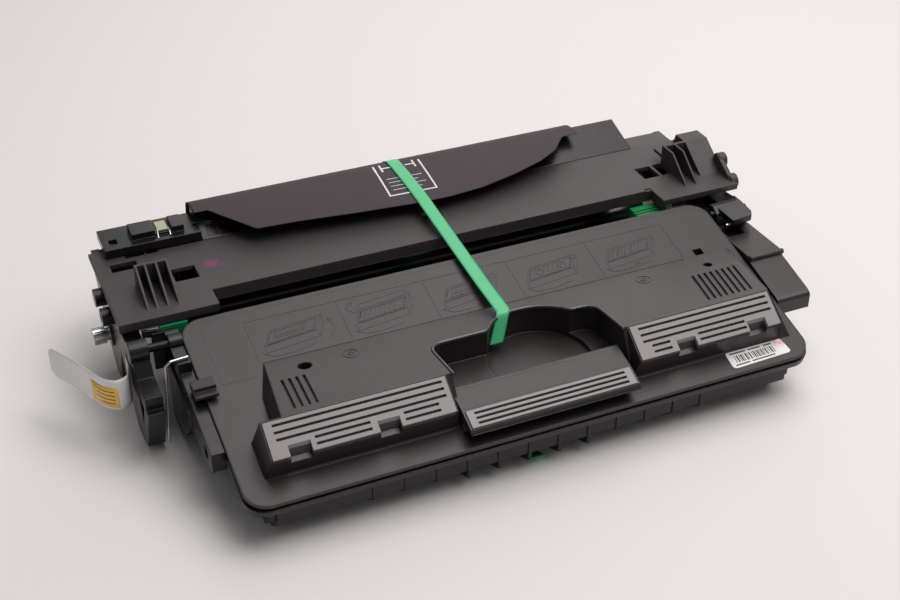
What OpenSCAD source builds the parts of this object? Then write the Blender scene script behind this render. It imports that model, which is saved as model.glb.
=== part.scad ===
// Toner cartridge of a wide-format laser printer, as a toner unit hinged to a drum unit.
// Origin: on the surface it rests on, under the middle of the lid's back edge.
// +X runs along the drum to the gear end, +Y from the handle to the drum, +Z up.

/* [Toner unit] */
// Length of the lid along the drum
lid_w = 350; // [340:1:360]
// Level depth of the lid from its back edge to its front edge
lid_d = 133; // [130:1:138]
// Height of the lid's back edge
lid_h = 65; // [64:0.5:68]
// Slope of the lid, down to the front, in degrees
lid_tilt = 14.2; // [13.5:0.1:14.5]
// Thickness of the lid and its walls
lid_t = 2.6; // [2:0.1:3]
// Wall of the hopper
wall = 2.5; // [2:0.1:3]
// Pitch of the ribs under the hopper
rib_pitch = 18.7; // [17:0.1:20]
// Thickness of one rib
rib_t = 2; // [1.2:0.1:2.5]

/* [Handle and pads] */
// Width of the hand recess between the pads
recess_w = 107; // [100:1:110]
// Radius of the round middle of the recess
recess_r = 31; // [26:1:33]
// Depth of the recess below its rim
recess_deep = 19; // [16:0.5:20]
// Slope of the ribbed pads, in degrees
pad_tilt = 35; // [30:1:38]
// Thickness of the ribbed pads
pad_t = 1.6; // [1.2:0.1:2]

/* [Drum unit] */
// Overhang of the top bar past each end of the lid
bar_over = 32; // [30:0.5:34]
// Height of the bar's top face above the lid's back edge
bar_rise = 4; // [3:0.5:6]
// Thickness of the bar
bar_t = 3; // [2:0.1:3.5]
// Radius of the drum
drum_r = 15; // [14.6:0.1:15]
// Length by which the drum tube stops short of each end of the lid
drum_short = 10; // [9:0.5:15]
// Radius of the charge roller
charge_r = 7; // [6:0.1:7]
// Radius of the developer sleeve
sleeve_r = 10; // [9.5:0.1:10]
// Radius of the chrome head on the left drum pin
head_r = 5.5; // [4.8:0.1:5.8]

/* [Gears and fits] */
// Module of the gears
gear_m = 1; // [0.98:0.01:1]
// Face width of the gears
gear_w = 8; // [6:0.5:9]
// Thinning of each tooth for backlash
backlash = 0.14; // [0.1:0.01:0.2]
// Radial clearance of shafts in their bearings
fit = 0.04; // [0.02:0.01:0.08]
// Radius of the drum and charge roller pins
pin_r = 3; // [2.5:0.1:3.2]
// Radius of the developer journals
journal_r = 5; // [4.5:0.1:5.2]

/* [Hidden] */
$fn = 48;
gap = 0.3;
x_gear = lid_w / 2 + 3;
half_lid = lid_w / 2;
bar_w = lid_w + 2 * bar_over;
bar_h = lid_h + bar_rise;
// place along the drum at the depth d inside the lid's end
function inside(d) = half_lid - d;

// axes of the turning pieces as [y, z]
drum_at = [62, 27];
teeth_drum = 32;
teeth_dev = 19;
teeth_idler = 36;
teeth_agit = 30;
function spaced(at, teeth, deg) = at + gear_m * teeth / 2 * [cos(deg), sin(deg)];
dev_at = spaced(drum_at, teeth_drum + teeth_dev, 203);
idler_at = spaced(dev_at, teeth_dev + teeth_idler, 169.5);
agit_at = spaced(idler_at, teeth_idler + teeth_agit, 173);
charge_at = drum_at + (drum_r + charge_r + gap) * [cos(75), sin(75)];
hinge_at = [-9.5, lid_h - 5.6];

// height of the lid's top plane over a level distance y
function lid_z(y) = lid_h + y * tan(lid_tilt);
// height of the platform's top over y
fold_y = -42.5;
pad_y = -102.8;
pad_z = lid_h - 2.5;
function deck_z(y) = lid_z(fold_y) + (fold_y - y) * (pad_z - lid_z(fold_y)) / (fold_y - pad_y);

module along_x(x0, x1) translate([x0, 0, 0]) rotate([90, 0, 90]) linear_extrude(x1 - x0) children();
module rod_x(x0, x1, r, at) translate([x0, at[0], at[1]]) rotate([0, 90, 0]) cylinder(h = x1 - x0, r = r);
module block(x, y, z) translate([x[0], y[0], z[0]]) cube([x[1] - x[0], y[1] - y[0], z[1] - z[0]]);
module on_lid() translate([0, 0, lid_h]) rotate([lid_tilt, 0, 0]) children();
module round_rect(x, y, r) {
    translate([x[0] + r, y[0]]) square([x[1] - x[0] - 2 * r, y[1] - y[0]]);
    translate([x[0], y[0] + r]) square([x[1] - x[0], y[1] - y[0] - 2 * r]);
    for (cx = [x[0] + r, x[1] - r], cy = [y[0] + r, y[1] - r]) translate([cx, cy]) circle(r);
}
// solid between a lower and an upper outline of as many points
module loft(low, high) {
    n = len(low);
    sides = [for (i = [0:n - 1]) [i, (i + 1) % n, n + (i + 1) % n, n + i]];
    hull() polyhedron(concat(low, high), concat([[for (i = [n - 1:-1:0]) i], [for (i = [0:n - 1]) n + i]], sides));
}

// involute spur gear about the origin, with tooth 0 centred on the angle phase
pressure = 20;
function inv(a) = tan(a) - a * PI / 180;
function half_tooth(teeth, r) = let (rp = gear_m * teeth / 2, rb = rp * cos(pressure))
    90 / teeth + (inv(pressure) - inv(acos(min(1, rb / max(r, rb))))) * 180 / PI
    - backlash / 2 / rp * 180 / PI;
function gear_radii(teeth) = let (rp = gear_m * teeth / 2)
    [rp - 1.25 * gear_m, rp - 0.5 * gear_m, rp + 0.2 * gear_m, rp + 0.9 * gear_m];
module gear_outline(teeth, phase) {
    radii = gear_radii(teeth);
    polygon([for (i = [0:teeth - 1], s = [-1, 1], k = [0:3])
        let (r = radii[s < 0 ? k : 3 - k], a = phase + i * 360 / teeth + s * half_tooth(teeth, r))
        r * [cos(a), sin(a)]]);
}
// phase at which a gear meshes with a neighbour in the direction deg seen from that neighbour
function mesh_phase(deg, phase, teeth_a, teeth_b) = deg + 180 + 180 / teeth_b + (deg - phase) * teeth_a / teeth_b;
phase_drum = 0;
phase_dev = mesh_phase(203, phase_drum, teeth_drum, teeth_dev);
phase_idler = mesh_phase(169.5, phase_dev, teeth_dev, teeth_idler);
phase_agit = mesh_phase(173, phase_idler, teeth_idler, teeth_agit);
module gear(at, teeth, phase, bore, web_t = 3) {
    rim = gear_m * (teeth / 2 - 3);
    difference() {
        translate([x_gear, at[0], at[1]]) rotate([90, 0, 90]) linear_extrude(gear_w) gear_outline(teeth, phase);
        if (rim > bore + 5)
            for (side = [0, 1]) translate([x_gear + side * (gear_w / 2 + web_t / 2), at[0], at[1]])
                rotate([0, 90, 0]) difference() {
                    cylinder(h = gear_w / 2 - web_t / 2, r = rim);
                    cylinder(h = gear_w, r = bore + 2.2);
                }
        rod_x(x_gear - 1, x_gear + gear_w + 1, bore, at);
    }
}

// Toner unit

black = "#1d1c1e";
satin = "#3b393c";
pad_grey = "#948c90";
steel = "#b9bcc0";

hop_x = half_lid - 12;
hop_floor = 4;
trough_r = sleeve_r + 1.6;
// height of the hopper's rim under the lid, and of its roof behind the lid
function rim_z(y) = lid_z(y) - lid_t / cos(lid_tilt) - gap;
roof_y = 25.6;
function roof_z(y) = 44 - (y + 2) * 0.2536;

// section of the hopper in the plane of y and z
module hopper_outer() {
    polygon([[-126, rim_z(-126)], [-126, 14], [-115, hop_floor], [dev_at[0], hop_floor], [dev_at[0], 12],
        [roof_y, 12], [roof_y, roof_z(roof_y)], [-2, roof_z(-2)], [-2, rim_z(-2)]]);
    translate(dev_at) circle(trough_r + wall);
}
module hopper_inner() {
    polygon([[-126 + wall, 60], [-126 + wall, 15.3], [-114, hop_floor + wall],
        [dev_at[0] - trough_r - wall, hop_floor + wall], [dev_at[0] - trough_r - wall, 33],
        [22, roof_z(22) - wall], [-2 - wall, roof_z(-2) - wall], [-2 - wall, 90], [-126 + wall, 90]]);
    translate([dev_at[0] - trough_r - wall - 1, dev_at[1] - 6]) square([wall + 4, 12]);
}
module trough_space() {
    translate(dev_at) circle(trough_r);
    // the side that faces the drum is open
    translate(dev_at) polygon([[0, 0], [40, -18], [40, 40], [roof_y - dev_at[0] + 0.4, 40],
        [roof_y - dev_at[0] + 0.4, 9], [0, 9]]);
}
flange_t = 5;
seam_t = 1.1;
lip = 0.9;
module flange_outline(w)
    round_rect([w - half_lid, half_lid - w], [w - lid_d / cos(lid_tilt), -2], 13);
module rib_section(deep, low) {
    polygon([[-129, 24], [-129, 12 - deep], [-115, low], [18, low], [18, hop_floor + 0.5], [-114, hop_floor + 0.5],
        [-125, 14.5], [-125, 26]]);
}
module hopper_frame() color(black) difference() {
    union() {
        along_x(-hop_x, hop_x) hopper_outer();
        // flange that carries the lid, drawn in below the lid's edge and proud of it in front
        on_lid() translate([0, 0, -lid_t - gap - seam_t]) linear_extrude(seam_t) flange_outline(2);
        on_lid() translate([0, 0, -lid_t - gap - flange_t]) linear_extrude(flange_t - seam_t) {
            flange_outline(1);
            intersection() {
                flange_outline(-lip);
                translate([-half_lid - lip, -lid_d - 20]) square([2 * (half_lid + lip), lid_d - 79]);
            }
        }
        for (i = [0:11]) let (x = -105 + i * rib_pitch, mid = x > -49 && x < 26)
            along_x(x - rib_t / 2, x + rib_t / 2) rib_section(mid ? 4 : 0, mid ? 0.9 : 0);
        // skid along the rear of the floor, broken for the packing tape
        for (x = [[-hop_x, -9], [2.1, hop_x]]) block(x, [-4, 12], [0, hop_floor + 0.5]);
        // seat of the agitator's right end
        rod_x(hop_x - 1, hop_x + 4, 8, agit_at);
    }
    along_x(-hop_x + wall, hop_x - wall) hopper_inner();
    along_x(-hop_x + wall + 4, hop_x - wall - 4) trough_space();
    for (side = [-1, 1]) rod_x(side < 0 ? -hop_x - 1 : hop_x - wall - 5, side < 0 ? -hop_x + wall + 5 : hop_x + 1,
        bush_r + 0.02, dev_at);
    rod_x(-hop_x - 1, hop_x + 1, drum_r + 1, drum_at);
    for (x = screw_x) on_roof(x) translate([0, 0, -9]) cylinder(h = 20, r = 1.42);
    rod_x(hop_x, hop_x + 5, idler_bore - fit + 0.01, idler_at);
    rod_x(hop_x - 10, hop_x + 6, agit_r + fit, agit_at);
    rod_x(-hop_x + 0.8, -hop_x + 8, agit_r + fit, agit_at);
    // filling hole in the left end
    rod_x(-hop_x - 1, -hop_x + 8, plug_r, plug_at);
}

agit_r = 3.5;
bush_r = 8;
plug_r = 11;
plug_at = [-66, 25];

// outline of the hand recess seen from above, grown by w
recess_x = [-48, recess_w - 48];
recess_back = -68;
round_at = [16.5, -52.5 - recess_r];
module recess_outline(w) {
    round_rect([recess_x[0] - w, recess_x[1] + w], [-121 - w, recess_back + w], 9 + w);
    translate(round_at) circle(recess_r + w);
}
tub_rim = deck_z(-60);
deep_z = tub_rim - recess_deep;

// raised deck of the lid, drawn in by w for the space below it
module deck(w) loft(
    [[w - inside(24), -126, 20], [inside(2) - w, -126, 20], [inside(2) - w, fold_y - w, 40], [w - inside(30), fold_y - w, 40]],
    [[w - inside(29), pad_y, pad_z - w], [inside(17) - w, pad_y, pad_z - w],
        [inside(5) - w, fold_y - w, lid_z(fold_y) - w], [w - inside(37.6), fold_y - w, lid_z(fold_y) - w]]);
pad_x = [[-inside(17), -52], [61.5, inside(17.5)]];
pad_run = 18.4;
pad_low = pad_z - pad_run * tan(pad_tilt);
// block under one pad, drawn in by w
module pad_block(x, w) loft(
    [[x[0] - 4 + w, w - 115, 30], [x[1] + 3 - w, w - 115, 30], [x[1] + 3 - w, -86 - w, 30], [x[0] - 4 + w, -86 - w, 30],
        [x[0] - 4 + w, w - 115, 30], [x[1] + 3 - w, w - 115, 30]],
    [[x[0] + w, pad_y - pad_run + w, pad_low - w], [x[1] - w, pad_y - pad_run + w, pad_low - w],
        [x[1] - w, pad_y, pad_z - w], [x[0] + w, pad_y, pad_z - w],
        [x[0] + w, pad_y - 2, pad_z - 2 * tan(pad_tilt) - w], [x[1] - w, pad_y - 2, pad_z - 2 * tan(pad_tilt) - w]]);
// frame of one pad's sloping face, with its back edge as the x axis
module on_pad() translate([0, pad_y, pad_z]) rotate([pad_tilt, 0, 0]) children();
pad_len = pad_run / cos(pad_tilt);
notch_w = 11.8;
notch_at = [[-inside(33.8), -91], [93.6, inside(33.5)]];
// square notch in a pad's front edge, grown by w
module notch(x, w) along_x(x - notch_w / 2 - w, x + notch_w / 2 + w)
    polygon([[w - 116.4, 66], [w - 116.4, 46.2 - w], [-128, 41 - w], [-128, 66]]);

module lid_plate(grow, low, high) on_lid() translate([0, 0, low]) linear_extrude(high - low)
    round_rect([-half_lid + grow, half_lid - grow], [-lid_d / cos(lid_tilt) + grow, -grow], 13 - grow);

handle_x = [-49.5, 56];
handle_rise = 12.6;
handle_y = [-131, -103];
handle_t = 3;
// section of the handle bar
module handle_section(w) {
    polygon([[handle_y[1] - w, lid_z(handle_y[1]) + handle_rise - w], [-119.5, lid_z(-119.5) + handle_rise - w],
        [handle_y[0] + w, lid_z(-119.5) + 8.2 - w], [handle_y[0] - 1.5 + w, lid_z(-119.5) + 5], [handle_y[0] - 1.5 + w, 40.5],
        [-121 - w, 40.5], [-121 - w, 28 + w], [handle_y[1] - w, 28 + w]]);
}

module hopper_lid() color(satin) difference() {
    union() {
        lid_plate(0, -lid_t, 0);
        intersection() {
            union() {
                deck(0);
                for (x = pad_x) pad_block(x, 0);
            }
            union() {
                lid_plate(2, -lid_t, 60);
            }
        }
        // tub of the hand recess
        intersection() {
            translate([0, 0, deep_z - lid_t]) linear_extrude(tub_rim - deep_z + 6) recess_outline(lid_t);
            union() {
                deck(0);
                lid_plate(2, -30, 0);
            }
        }
        along_x(handle_x[0], handle_x[1]) handle_section(0);
        // walls of the square pocket behind the deck
        block([square_x[0] - 2, square_x[1] + 2], [-44, -35], [lid_z(-38) - pocket_deep - 2, lid_z(-38) - 1]);
    }
    // space below the deck and the pads, left open to the hopper
    difference() {
        union() {
            deck(lid_t);
            for (x = pad_x) pad_block(x, lid_t);
        }
        lid_plate(0, -60, -lid_t - 0.01);
        translate([0, 0, deep_z - lid_t]) linear_extrude(60) recess_outline(lid_t);
        along_x(handle_x[0], handle_x[1]) handle_section(0);
        for (pair = notch_at, x = pair) notch(x, 2);
        for (at = pockets) translate([at[0], at[1], deck_z(at[1]) - pocket_deep - 2]) cylinder(h = 20, r = at[2] + 2);
        block([square_x[0] - 2, square_x[1] + 2], [-44, -35], [lid_z(-38) - pocket_deep - 2, 80]);
    }
    // hand recess with a deeper round middle
    difference() {
        translate([0, 0, deep_z + 3]) linear_extrude(40) recess_outline(0);
        along_x(handle_x[0], handle_x[1]) handle_section(0);
        block([-60, 70], [-140, -121], [20, 60]);
    }
    difference() {
        translate([round_at[0], round_at[1], deep_z]) cylinder(h = 40, r = recess_r);
        along_x(handle_x[0], handle_x[1]) handle_section(0);
        block([-60, 70], [-140, handle_y[1] + 0.5], [20, 60]);
    }
    // hollow of the handle bar, open below
    along_x(handle_x[0] + lid_t, handle_x[1] - lid_t) difference() {
        handle_section(lid_t);
        translate([-121, 0]) square([lid_t, 90]);
    }
    // seats of the pads and the grip
    for (x = pad_x) on_pad() block([x[0] + pad_edge, x[1] - pad_edge], [-pad_len - 4, -pad_edge], [-pad_t, 20]);
    on_grip() block([handle_x[0] + 1.5, handle_x[1] - 1.5], [-grip_len, -0.5], [-pad_t, 20]);
    // square notches in the front edge of the pad blocks
    for (pair = notch_at, x = pair) notch(x, 0);
    // grip slots across the deck at both ends
    for (i = [0:3]) deck_slot(i * 4.23 - inside(40.8), 0.08);
    for (i = [0:7]) deck_slot(i * 4.19 + inside(45.7), 0.264);
    // two round holes and a square one
    for (at = pockets) translate([at[0], at[1], deck_z(at[1]) - pocket_deep]) cylinder(h = 50, r = at[2]);
    block(square_x, [-42, -37], [lid_z(-38) - pocket_deep, 80]);
}
// blind round holes in the deck as [x, y, radius]
pockets = [[-inside(57.4), -56.3, 4], [inside(28.7), -56.4, 2.7]];
square_x = [inside(28), inside(22)];
pocket_deep = 8;
deck_tilt = atan((pad_z - lid_z(fold_y)) / (fold_y - pad_y));
// slot that starts at x and leans aside on its way forward
slot_y = [-55.4, -23];
module deck_slot(x, lean) translate([0, fold_y, lid_z(fold_y)]) rotate([-deck_tilt, 0, 0])
    multmatrix([[1, lean, 0, x - lean * slot_y[1]], [0, 1, 0, 0], [0, 0, 1, 0], [0, 0, 0, 1]])
    block([-0.7, 0.7], slot_y, [-1.5, 5]);
grip_len = 12;
module on_grip() translate([0, -119.5, lid_z(-119.5) + handle_rise]) rotate([atan(4.4 / 11.5), 0, 0]) children();

// ribbed insert of one pad: long slits, short slits and notches
pad_edge = 0.9;
slit_w = 1.5;
module grip_pad(x, notches, long_x, short_x) color(pad_grey) difference() {
    on_pad() difference() {
        block([x[0] + pad_edge + gap / 2, x[1] - pad_edge - gap / 2], [0.4 - pad_len, -pad_edge - gap / 2], [-pad_t, 0.5]);
        for (i = [0:2]) grip_slit(long_x, -3.7 - i * 4.05);
        for (s = short_x, i = [0:1]) grip_slit(s, -15.3 - i * 3.7);
    }
    for (n = notches) notch(n, gap);
}
module grip_slit(x, y) block(x, [y - slit_w / 2, y + slit_w / 2], [-pad_t - 1, 2]);
module grip_pad_left() grip_pad(pad_x[0], notch_at[0], [-inside(22.7), -55.8], [[-inside(42.8), -101.1], [-81.9, -61.4]]);
module grip_pad_right() grip_pad(pad_x[1], notch_at[1], [67.3, inside(21)], [[71.8, 83.6], [102.3, inside(40.9)]]);
module handle_grip() color(pad_grey) on_grip() difference() {
    block([handle_x[0] + 1.5 + gap / 2, handle_x[1] - 1.5 - gap / 2], [-grip_len + gap / 2, -0.5 - gap / 2], [-pad_t, 0.6]);
    for (i = [0:2]) grip_slit([handle_x[0] + 6, handle_x[1] - 6], -3.1 - i * 3.2);
}

cap_x = -hop_x - 12;
// arm at the left end that runs level with the lid, with a round hole in its nose
module left_end_cap() color(black) difference() {
    union() {
        along_x(cap_x - 8, cap_x) polygon([[0.5, 62.5], [0.5, 38], [-50, 26], [-88, 25], [-92, 29],
            [-92, lid_z(-92) - 1.5]]);
        rod_x(cap_x - 8, cap_x, 5, hinge_at);
        // tab that the wire contact hooks over
        block([cap_x - 9, cap_x - 1], [-34, -27], [lid_z(-30) - 3, lid_z(-30) + 3.7]);
        // wall behind the wire contact
        block([cap_x - 15.5, cap_x - 0.3], [-1.5, 0.5], [38, 62.5]);
        // hollow end of the hopper below the arm
        along_x(cap_x - 9, cap_x) polygon([[-3, 47], [-3, 4], [-20, 1.5], [-30, 8], [-46, 24], [-50, 30], [-50, 41]]);
        // plate between the arm and the hopper
        along_x(cap_x - 0.5, -hop_x) polygon([[2, 48], [26, 32], [26, 6], [-60, 6], [-84, 22], [-88, 30], [-60, 39.5], [-4, 52.5]]);
    }
    rod_x(cap_x - 9, cap_x + 3, 4, [-80, 34]);
    rod_x(cap_x - 9, cap_x + 1, hinge_r + 0.03, hinge_at);
    // well between the arm and the lid
    block([cap_x + 1.5, -hop_x - 2.2], [-45, -8], [32, 80]);
    rod_x(-hop_x - 40, -hop_x + 1, bush_r + 4, dev_at);
    rod_x(-hop_x - 13, -hop_x + 1, plug_r + 3, plug_at);
}
module left_end_clip() color(satin) difference() {
    block([cap_x - 6, cap_x + 7], [-60, -47], [lid_z(-47) + 0.1, lid_z(-47) + 4.5]);
    block([cap_x - 8, cap_x + 8], [-61, -55], [lid_z(-47) + 2, lid_z(-47) + 8]);
}
// cover over the gear end of the hopper, stepped in three
module right_end_cover() color(satin) {
    right_end_shell();
    // lug on the end wall of the hopper
    block([hop_x + 0.1, half_lid + 2.5], [-68, -52], [33, 37.5]);
}
module right_end_shell() difference() {
    union() {
        along_x(half_lid + 1, half_lid + 25) polygon([[-92, 32], [-92, 40.4], [-91.2, 42.4], [-89, 43.6], [-60, 51.8],
            [-58, 54.9], [-16, 54.2], [-16, 47.5], [-35, 47.5], [-35, 44], [-62, 42], [-70, 32]]);
        // rounded edge of the upper step
        rod_x(half_lid + 1.5, half_lid + 26, 1.8, [-58, 53.6]);
    }
    along_x(half_lid + 3, half_lid + 23) polygon([[-90, 31], [-90, 40], [-88, 41.6], [-60, 49.6], [-56, 52.6], [-18, 52.2],
        [-18, 49.5], [-37, 49.5], [-37, 43], [-62, 41], [-70, 31]]);
    // well behind the upper step
    block([half_lid + 3.5, half_lid + 16], [-31, -20], [51, 80]);
}
// shell around the gears of the hopper
module gear_cover() color(black) difference() {
    along_x(x_gear - 2.4, x_gear + gear_w + 4) gear_case(2.4);
    along_x(x_gear - 1, x_gear + gear_w + 1.6) gear_case(0);
    along_x(x_gear - 6, x_gear + gear_w + 1.6) translate([agit_at[0] - 9, agit_at[1] - 9]) square(18);
    rod_x(x_gear - 6, x_gear + gear_w + 9, idler_bore - fit + 0.01, idler_at);
    // the developer gear enters through the rear
    along_x(x_gear - 9, x_gear + gear_w + 9) translate(dev_at) circle(gear_m * teeth_dev / 2 + 2);
}
module gear_case(w) {
    translate(idler_at) circle(gear_m * (teeth_idler / 2 + 1) + 1 + w);
    translate(agit_at) circle(gear_m * (teeth_agit / 2 + 1) + 1 + w);
    translate([agit_at[0], agit_at[1] - 14]) square([idler_at[0] - agit_at[0], 30]);
}
module fill_plug() color(satin) union() {
    rod_x(-hop_x - 1.8, -hop_x, plug_r + 2, plug_at);
    rod_x(-hop_x - 0.1, -hop_x + 4, plug_r - 0.02, plug_at);
}
// film over the slot between the hopper and the developer trough
module seal_film() color("#d9d7d0") block([-hop_x + wall, hop_x - wall - 1],
    [dev_at[0] - trough_r - wall - 1.2, dev_at[0] - trough_r - wall - 1], [dev_at[1] - 8, dev_at[1] + 8]);
// pull strip that comes out behind the left arm and curls forward
module pull_tab() color("#e9e7e2") translate([bar_x[0], 0, 27]) linear_extrude(21) tab_curve();
module tab_curve() polygon(band([[0.7, 5.4], [0.1, -6], [-2.5, -13.5], [-8, -16], [-14, -12.5], [-20, -2], [-27, 14],
    [-38, 33]], 0.5));

// developer sleeve with its journals around the fixed magnet core
module developer_sleeve() color("#57595c") difference() {
    union() {
        rod_x(-inside(19), inside(19), sleeve_r, dev_at);
        rod_x(-hop_x - 9, hop_x + 9, journal_r, dev_at);
        rod_x(hop_x + 8, x_gear + gear_w, journal_r, dev_at);
    }
    rod_x(-inside(23), inside(23), sleeve_r - 1, dev_at);
    rod_x(-hop_x - 10, -inside(25), core_pin_r + fit, dev_at);
    rod_x(inside(25), inside(17), core_pin_r + fit, dev_at);
}
core_pin_r = 2.5;
module magnet_core() color("#2b2b2e") union() {
    rod_x(-inside(26), inside(26), sleeve_r - 2.6, dev_at);
    rod_x(-hop_x - 14, inside(17.5), core_pin_r, dev_at);
}
module bushing(x0, x1) color("#e6e4dc") difference() {
    union() {
        rod_x(x0, x1, bush_r, dev_at);
        rod_x(x0 < 0 ? x0 : x1 - 2, x0 < 0 ? x0 + 2 : x1, bush_r + 2, dev_at);
    }
    rod_x(x0 - 1, x1 + 1, journal_r + fit, dev_at);
}
module bushing_left() bushing(-hop_x - 2, -hop_x + wall + 3.5);
module bushing_right() bushing(hop_x - wall - 3.5, hop_x + 2);
module developer_gear() color("#dcdad2") gear(dev_at, teeth_dev, phase_dev, journal_r);
// folded steel bracket that holds the metering blade over the sleeve
module blade_bracket() color(steel) difference() {
    along_x(-inside(17), inside(17)) polygon([[8, roof_z(8) + gap / 2], [8, roof_z(8) + 1.4], [25.2, roof_z(25.2) + 1.4],
        [25.2, roof_z(25.2) + 9], [26.8, roof_z(25.2) + 9], [26.8, roof_z(26.8) + gap / 2]]);
    for (x = screw_x) on_roof(x) translate([0, 0, -9]) cylinder(h = 20, r = 1.5);
}
screw_x = [-inside(29), inside(29)];
// frame of a screw on the bracket
module on_roof(x) translate([x, 15, roof_z(15) + 1.45]) rotate([-atan(0.2536), 0, 0]) children();
blade_tip = dev_at + (sleeve_r + 0.35) * [cos(118), sin(118)];
module doctor_blade() color("#3c2f2a") along_x(-inside(21), inside(21))
    polygon([[26.9, roof_z(25.2) + 8], [28.2, roof_z(25.2) + 8], [28.2, 38], blade_tip + [1.1, 0.7], blade_tip, [26.9, 36.6]]);
module blade_screw(x) color(steel) on_roof(x) union() {
    translate([0, 0, 0.05]) cylinder(h = 2, r = 3);
    translate([0, 0, -4]) cylinder(h = 4.5, r = 1.4);
}
module blade_screw_left() blade_screw(screw_x[0]);
module blade_screw_right() blade_screw(screw_x[1]);

module agitator_shaft() color("#e0ddd4") difference() {
    union() {
        rod_x(-hop_x + 1.2, x_gear + gear_w, agit_r, agit_at);
        rod_x(-inside(25), inside(25), agit_r + 1.5, agit_at);
        block([-inside(27), inside(27)], [agit_at[0] - 1.5, agit_at[0] + 1.5], [agit_at[1] - 11, agit_at[1]]);
    }
    for (x = [-110:55:110]) block([x - 18, x + 18], [agit_at[0] - 3, agit_at[0] + 3], [agit_at[1] - 9, agit_at[1] - 5.5]);
}
module agitator_sheet() color("#c9d6dd") block([-inside(28), inside(28)], [agit_at[0] + 1.5, agit_at[0] + 1.9],
    [agit_at[1] - 18, agit_at[1] - 5.2]);
module agitator_gear() color("#dcdad2") gear(agit_at, teeth_agit, phase_agit, agit_r);
idler_bore = 4;
module idler_gear() color("#dcdad2") gear(idler_at, teeth_idler, phase_idler, idler_bore);
module idler_pin() color(steel) union() {
    rod_x(hop_x, x_gear + gear_w + 1.4, idler_bore - fit, idler_at);
}
// green guides at both ends of the slit
module edge_guide(x, y, z, stem) {
    // stem under the end block of the top bar
    block(stem, [y[1] - 3, y[1]], [z - 1, bar_h - bar_t - gap]);
    difference() {
        block(x, y, [z - 10, z]);
        for (i = [0:1]) block([x[0] - 1, x[1] + 1], [y[0] + 1.5 + i * 3, y[0] + 3 + i * 3], [z - 1.4, z + 1]);
    }
}
module edge_guide_left() color("#1f8f4c") edge_guide([-inside(-9), -inside(7)], [3, 10.3], lid_h - 2, [-inside(-8), -inside(-1)]);
module edge_guide_right() color("#1f8f4c") edge_guide([inside(41), inside(19)], [9, 20], lid_h - 6, [inside(22.7), inside(19)]);

// Drum unit

bar_x = [-bar_w / 2, bar_w / 2];
bar_y = [20.6, 77];
block_y = 4.8;
block_left = -inside(27);
block_right = inside(25);
plate_x = bar_w / 2 - 8;
plate_t = 5;
tube_t = 1;
hub_x = inside(drum_short);
neck_r = head_r - 1.3;
end_pin_r = 3.6;

module bar_outline() difference() {
    union() {
        translate([bar_x[0], bar_y[0]]) square([bar_w, bar_y[1] - bar_y[0]]);
        translate([bar_x[0], block_y]) square([block_left - bar_x[0], 30]);
        translate([block_right, block_y]) square([bar_x[1] - block_right, 30]);
        translate([bar_x[0], 70]) square([20, 19]);
    }
    // windows, slots and the hole of the left block
    translate([bar_x[0] + 20, 75]) square([12, 10]);
    translate([bar_x[0] + 9, 62]) square([16, 9]);
    translate([bar_x[0] + 41.5, 37]) square([14.5, 14.5]);
    translate([bar_x[0] + 33, 75]) square([7, 4]);
    // windows of the right block
    for (d = [53.2, 39.6]) translate([bar_x[1] - d, 35]) square([11.4, 15]);
    translate([bar_x[1] - 61, 19]) square([4.2, 4]);
    // slot under the packing tape
    translate([-2, 46]) square([13, 7]);
}
module gusset(x, foot, top_y, top_z, back) along_x(x - 0.7, x + 0.7)
    polygon([[foot, bar_h - 1], [top_y, top_z], [back, top_z], [back, bar_h - 1]]);
module top_bar() color(satin) difference() {
    union() {
        translate([0, 0, bar_h - bar_t]) linear_extrude(bar_t) bar_outline();
        // skirts below the front edges and the ends
        block([block_left, block_right], [bar_y[0], bar_y[0] + 2], [bar_h - 8, bar_h - 0.5]);
        block([bar_x[0], block_left], [block_y, block_y + 2], [bar_h - 5.5, bar_h - 0.5]);
        block([block_right, bar_x[1]], [block_y, block_y + 2], [bar_h - 4, bar_h - 0.5]);
        block([block_left - 2, block_left], [block_y, bar_y[0] + 2], [bar_h - 5.5, bar_h - 0.5]);
        block([block_right, block_right + 2], [block_y, bar_y[0] + 2], [bar_h - 7, bar_h - 0.5]);
        for (d = [19.6, 25, 31.5, 37.9]) gusset(bar_x[0] + d, 12, 38, bar_h + 14, 42);
        block([bar_x[0] + 18.9, bar_x[0] + 38.6], [41, 43], [bar_h - 1, bar_h + 14]);
        for (d = [33, 25]) gusset(bar_x[1] - d, 14, 35, bar_h + 15, 47);
        // raised block at the gear end, sloping forward
        along_x(bar_x[1] - 17, bar_x[1]) polygon([[22, bar_h - 1], [46, bar_h + 15], [58, bar_h + 15], [64, bar_h - 1]]);
        block([bar_x[1] - 33.7, bar_x[1] - 16.5], [46, 48], [bar_h - 1, bar_h + 15]);
        block([bar_x[1] - 33.7, bar_x[1] - 16.5], [48, 58], [bar_h + 6, bar_h + 8]);
        // knuckles at the gear end
        rod_x(bar_x[1] - 2, bar_x[1] + 3, 5, [28, bar_h + 6.6]);
        rod_x(bar_x[1] - 2, bar_x[1] + 3, 5, [13, bar_h - 2]);
        along_x(bar_x[1] - 3, bar_x[1]) polygon([[8, bar_h - 3], [13, bar_h + 3], [28, bar_h + 11.6], [34, bar_h + 3], [34, bar_h - 3]]);
    }
    // hollow of the raised block, open to the rear
    along_x(bar_x[1] - 15, bar_x[1] - 2) polygon([[30, bar_h - 4], [47, bar_h + 12.6], [60, bar_h + 12.6], [66, bar_h - 4]]);
}

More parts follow.
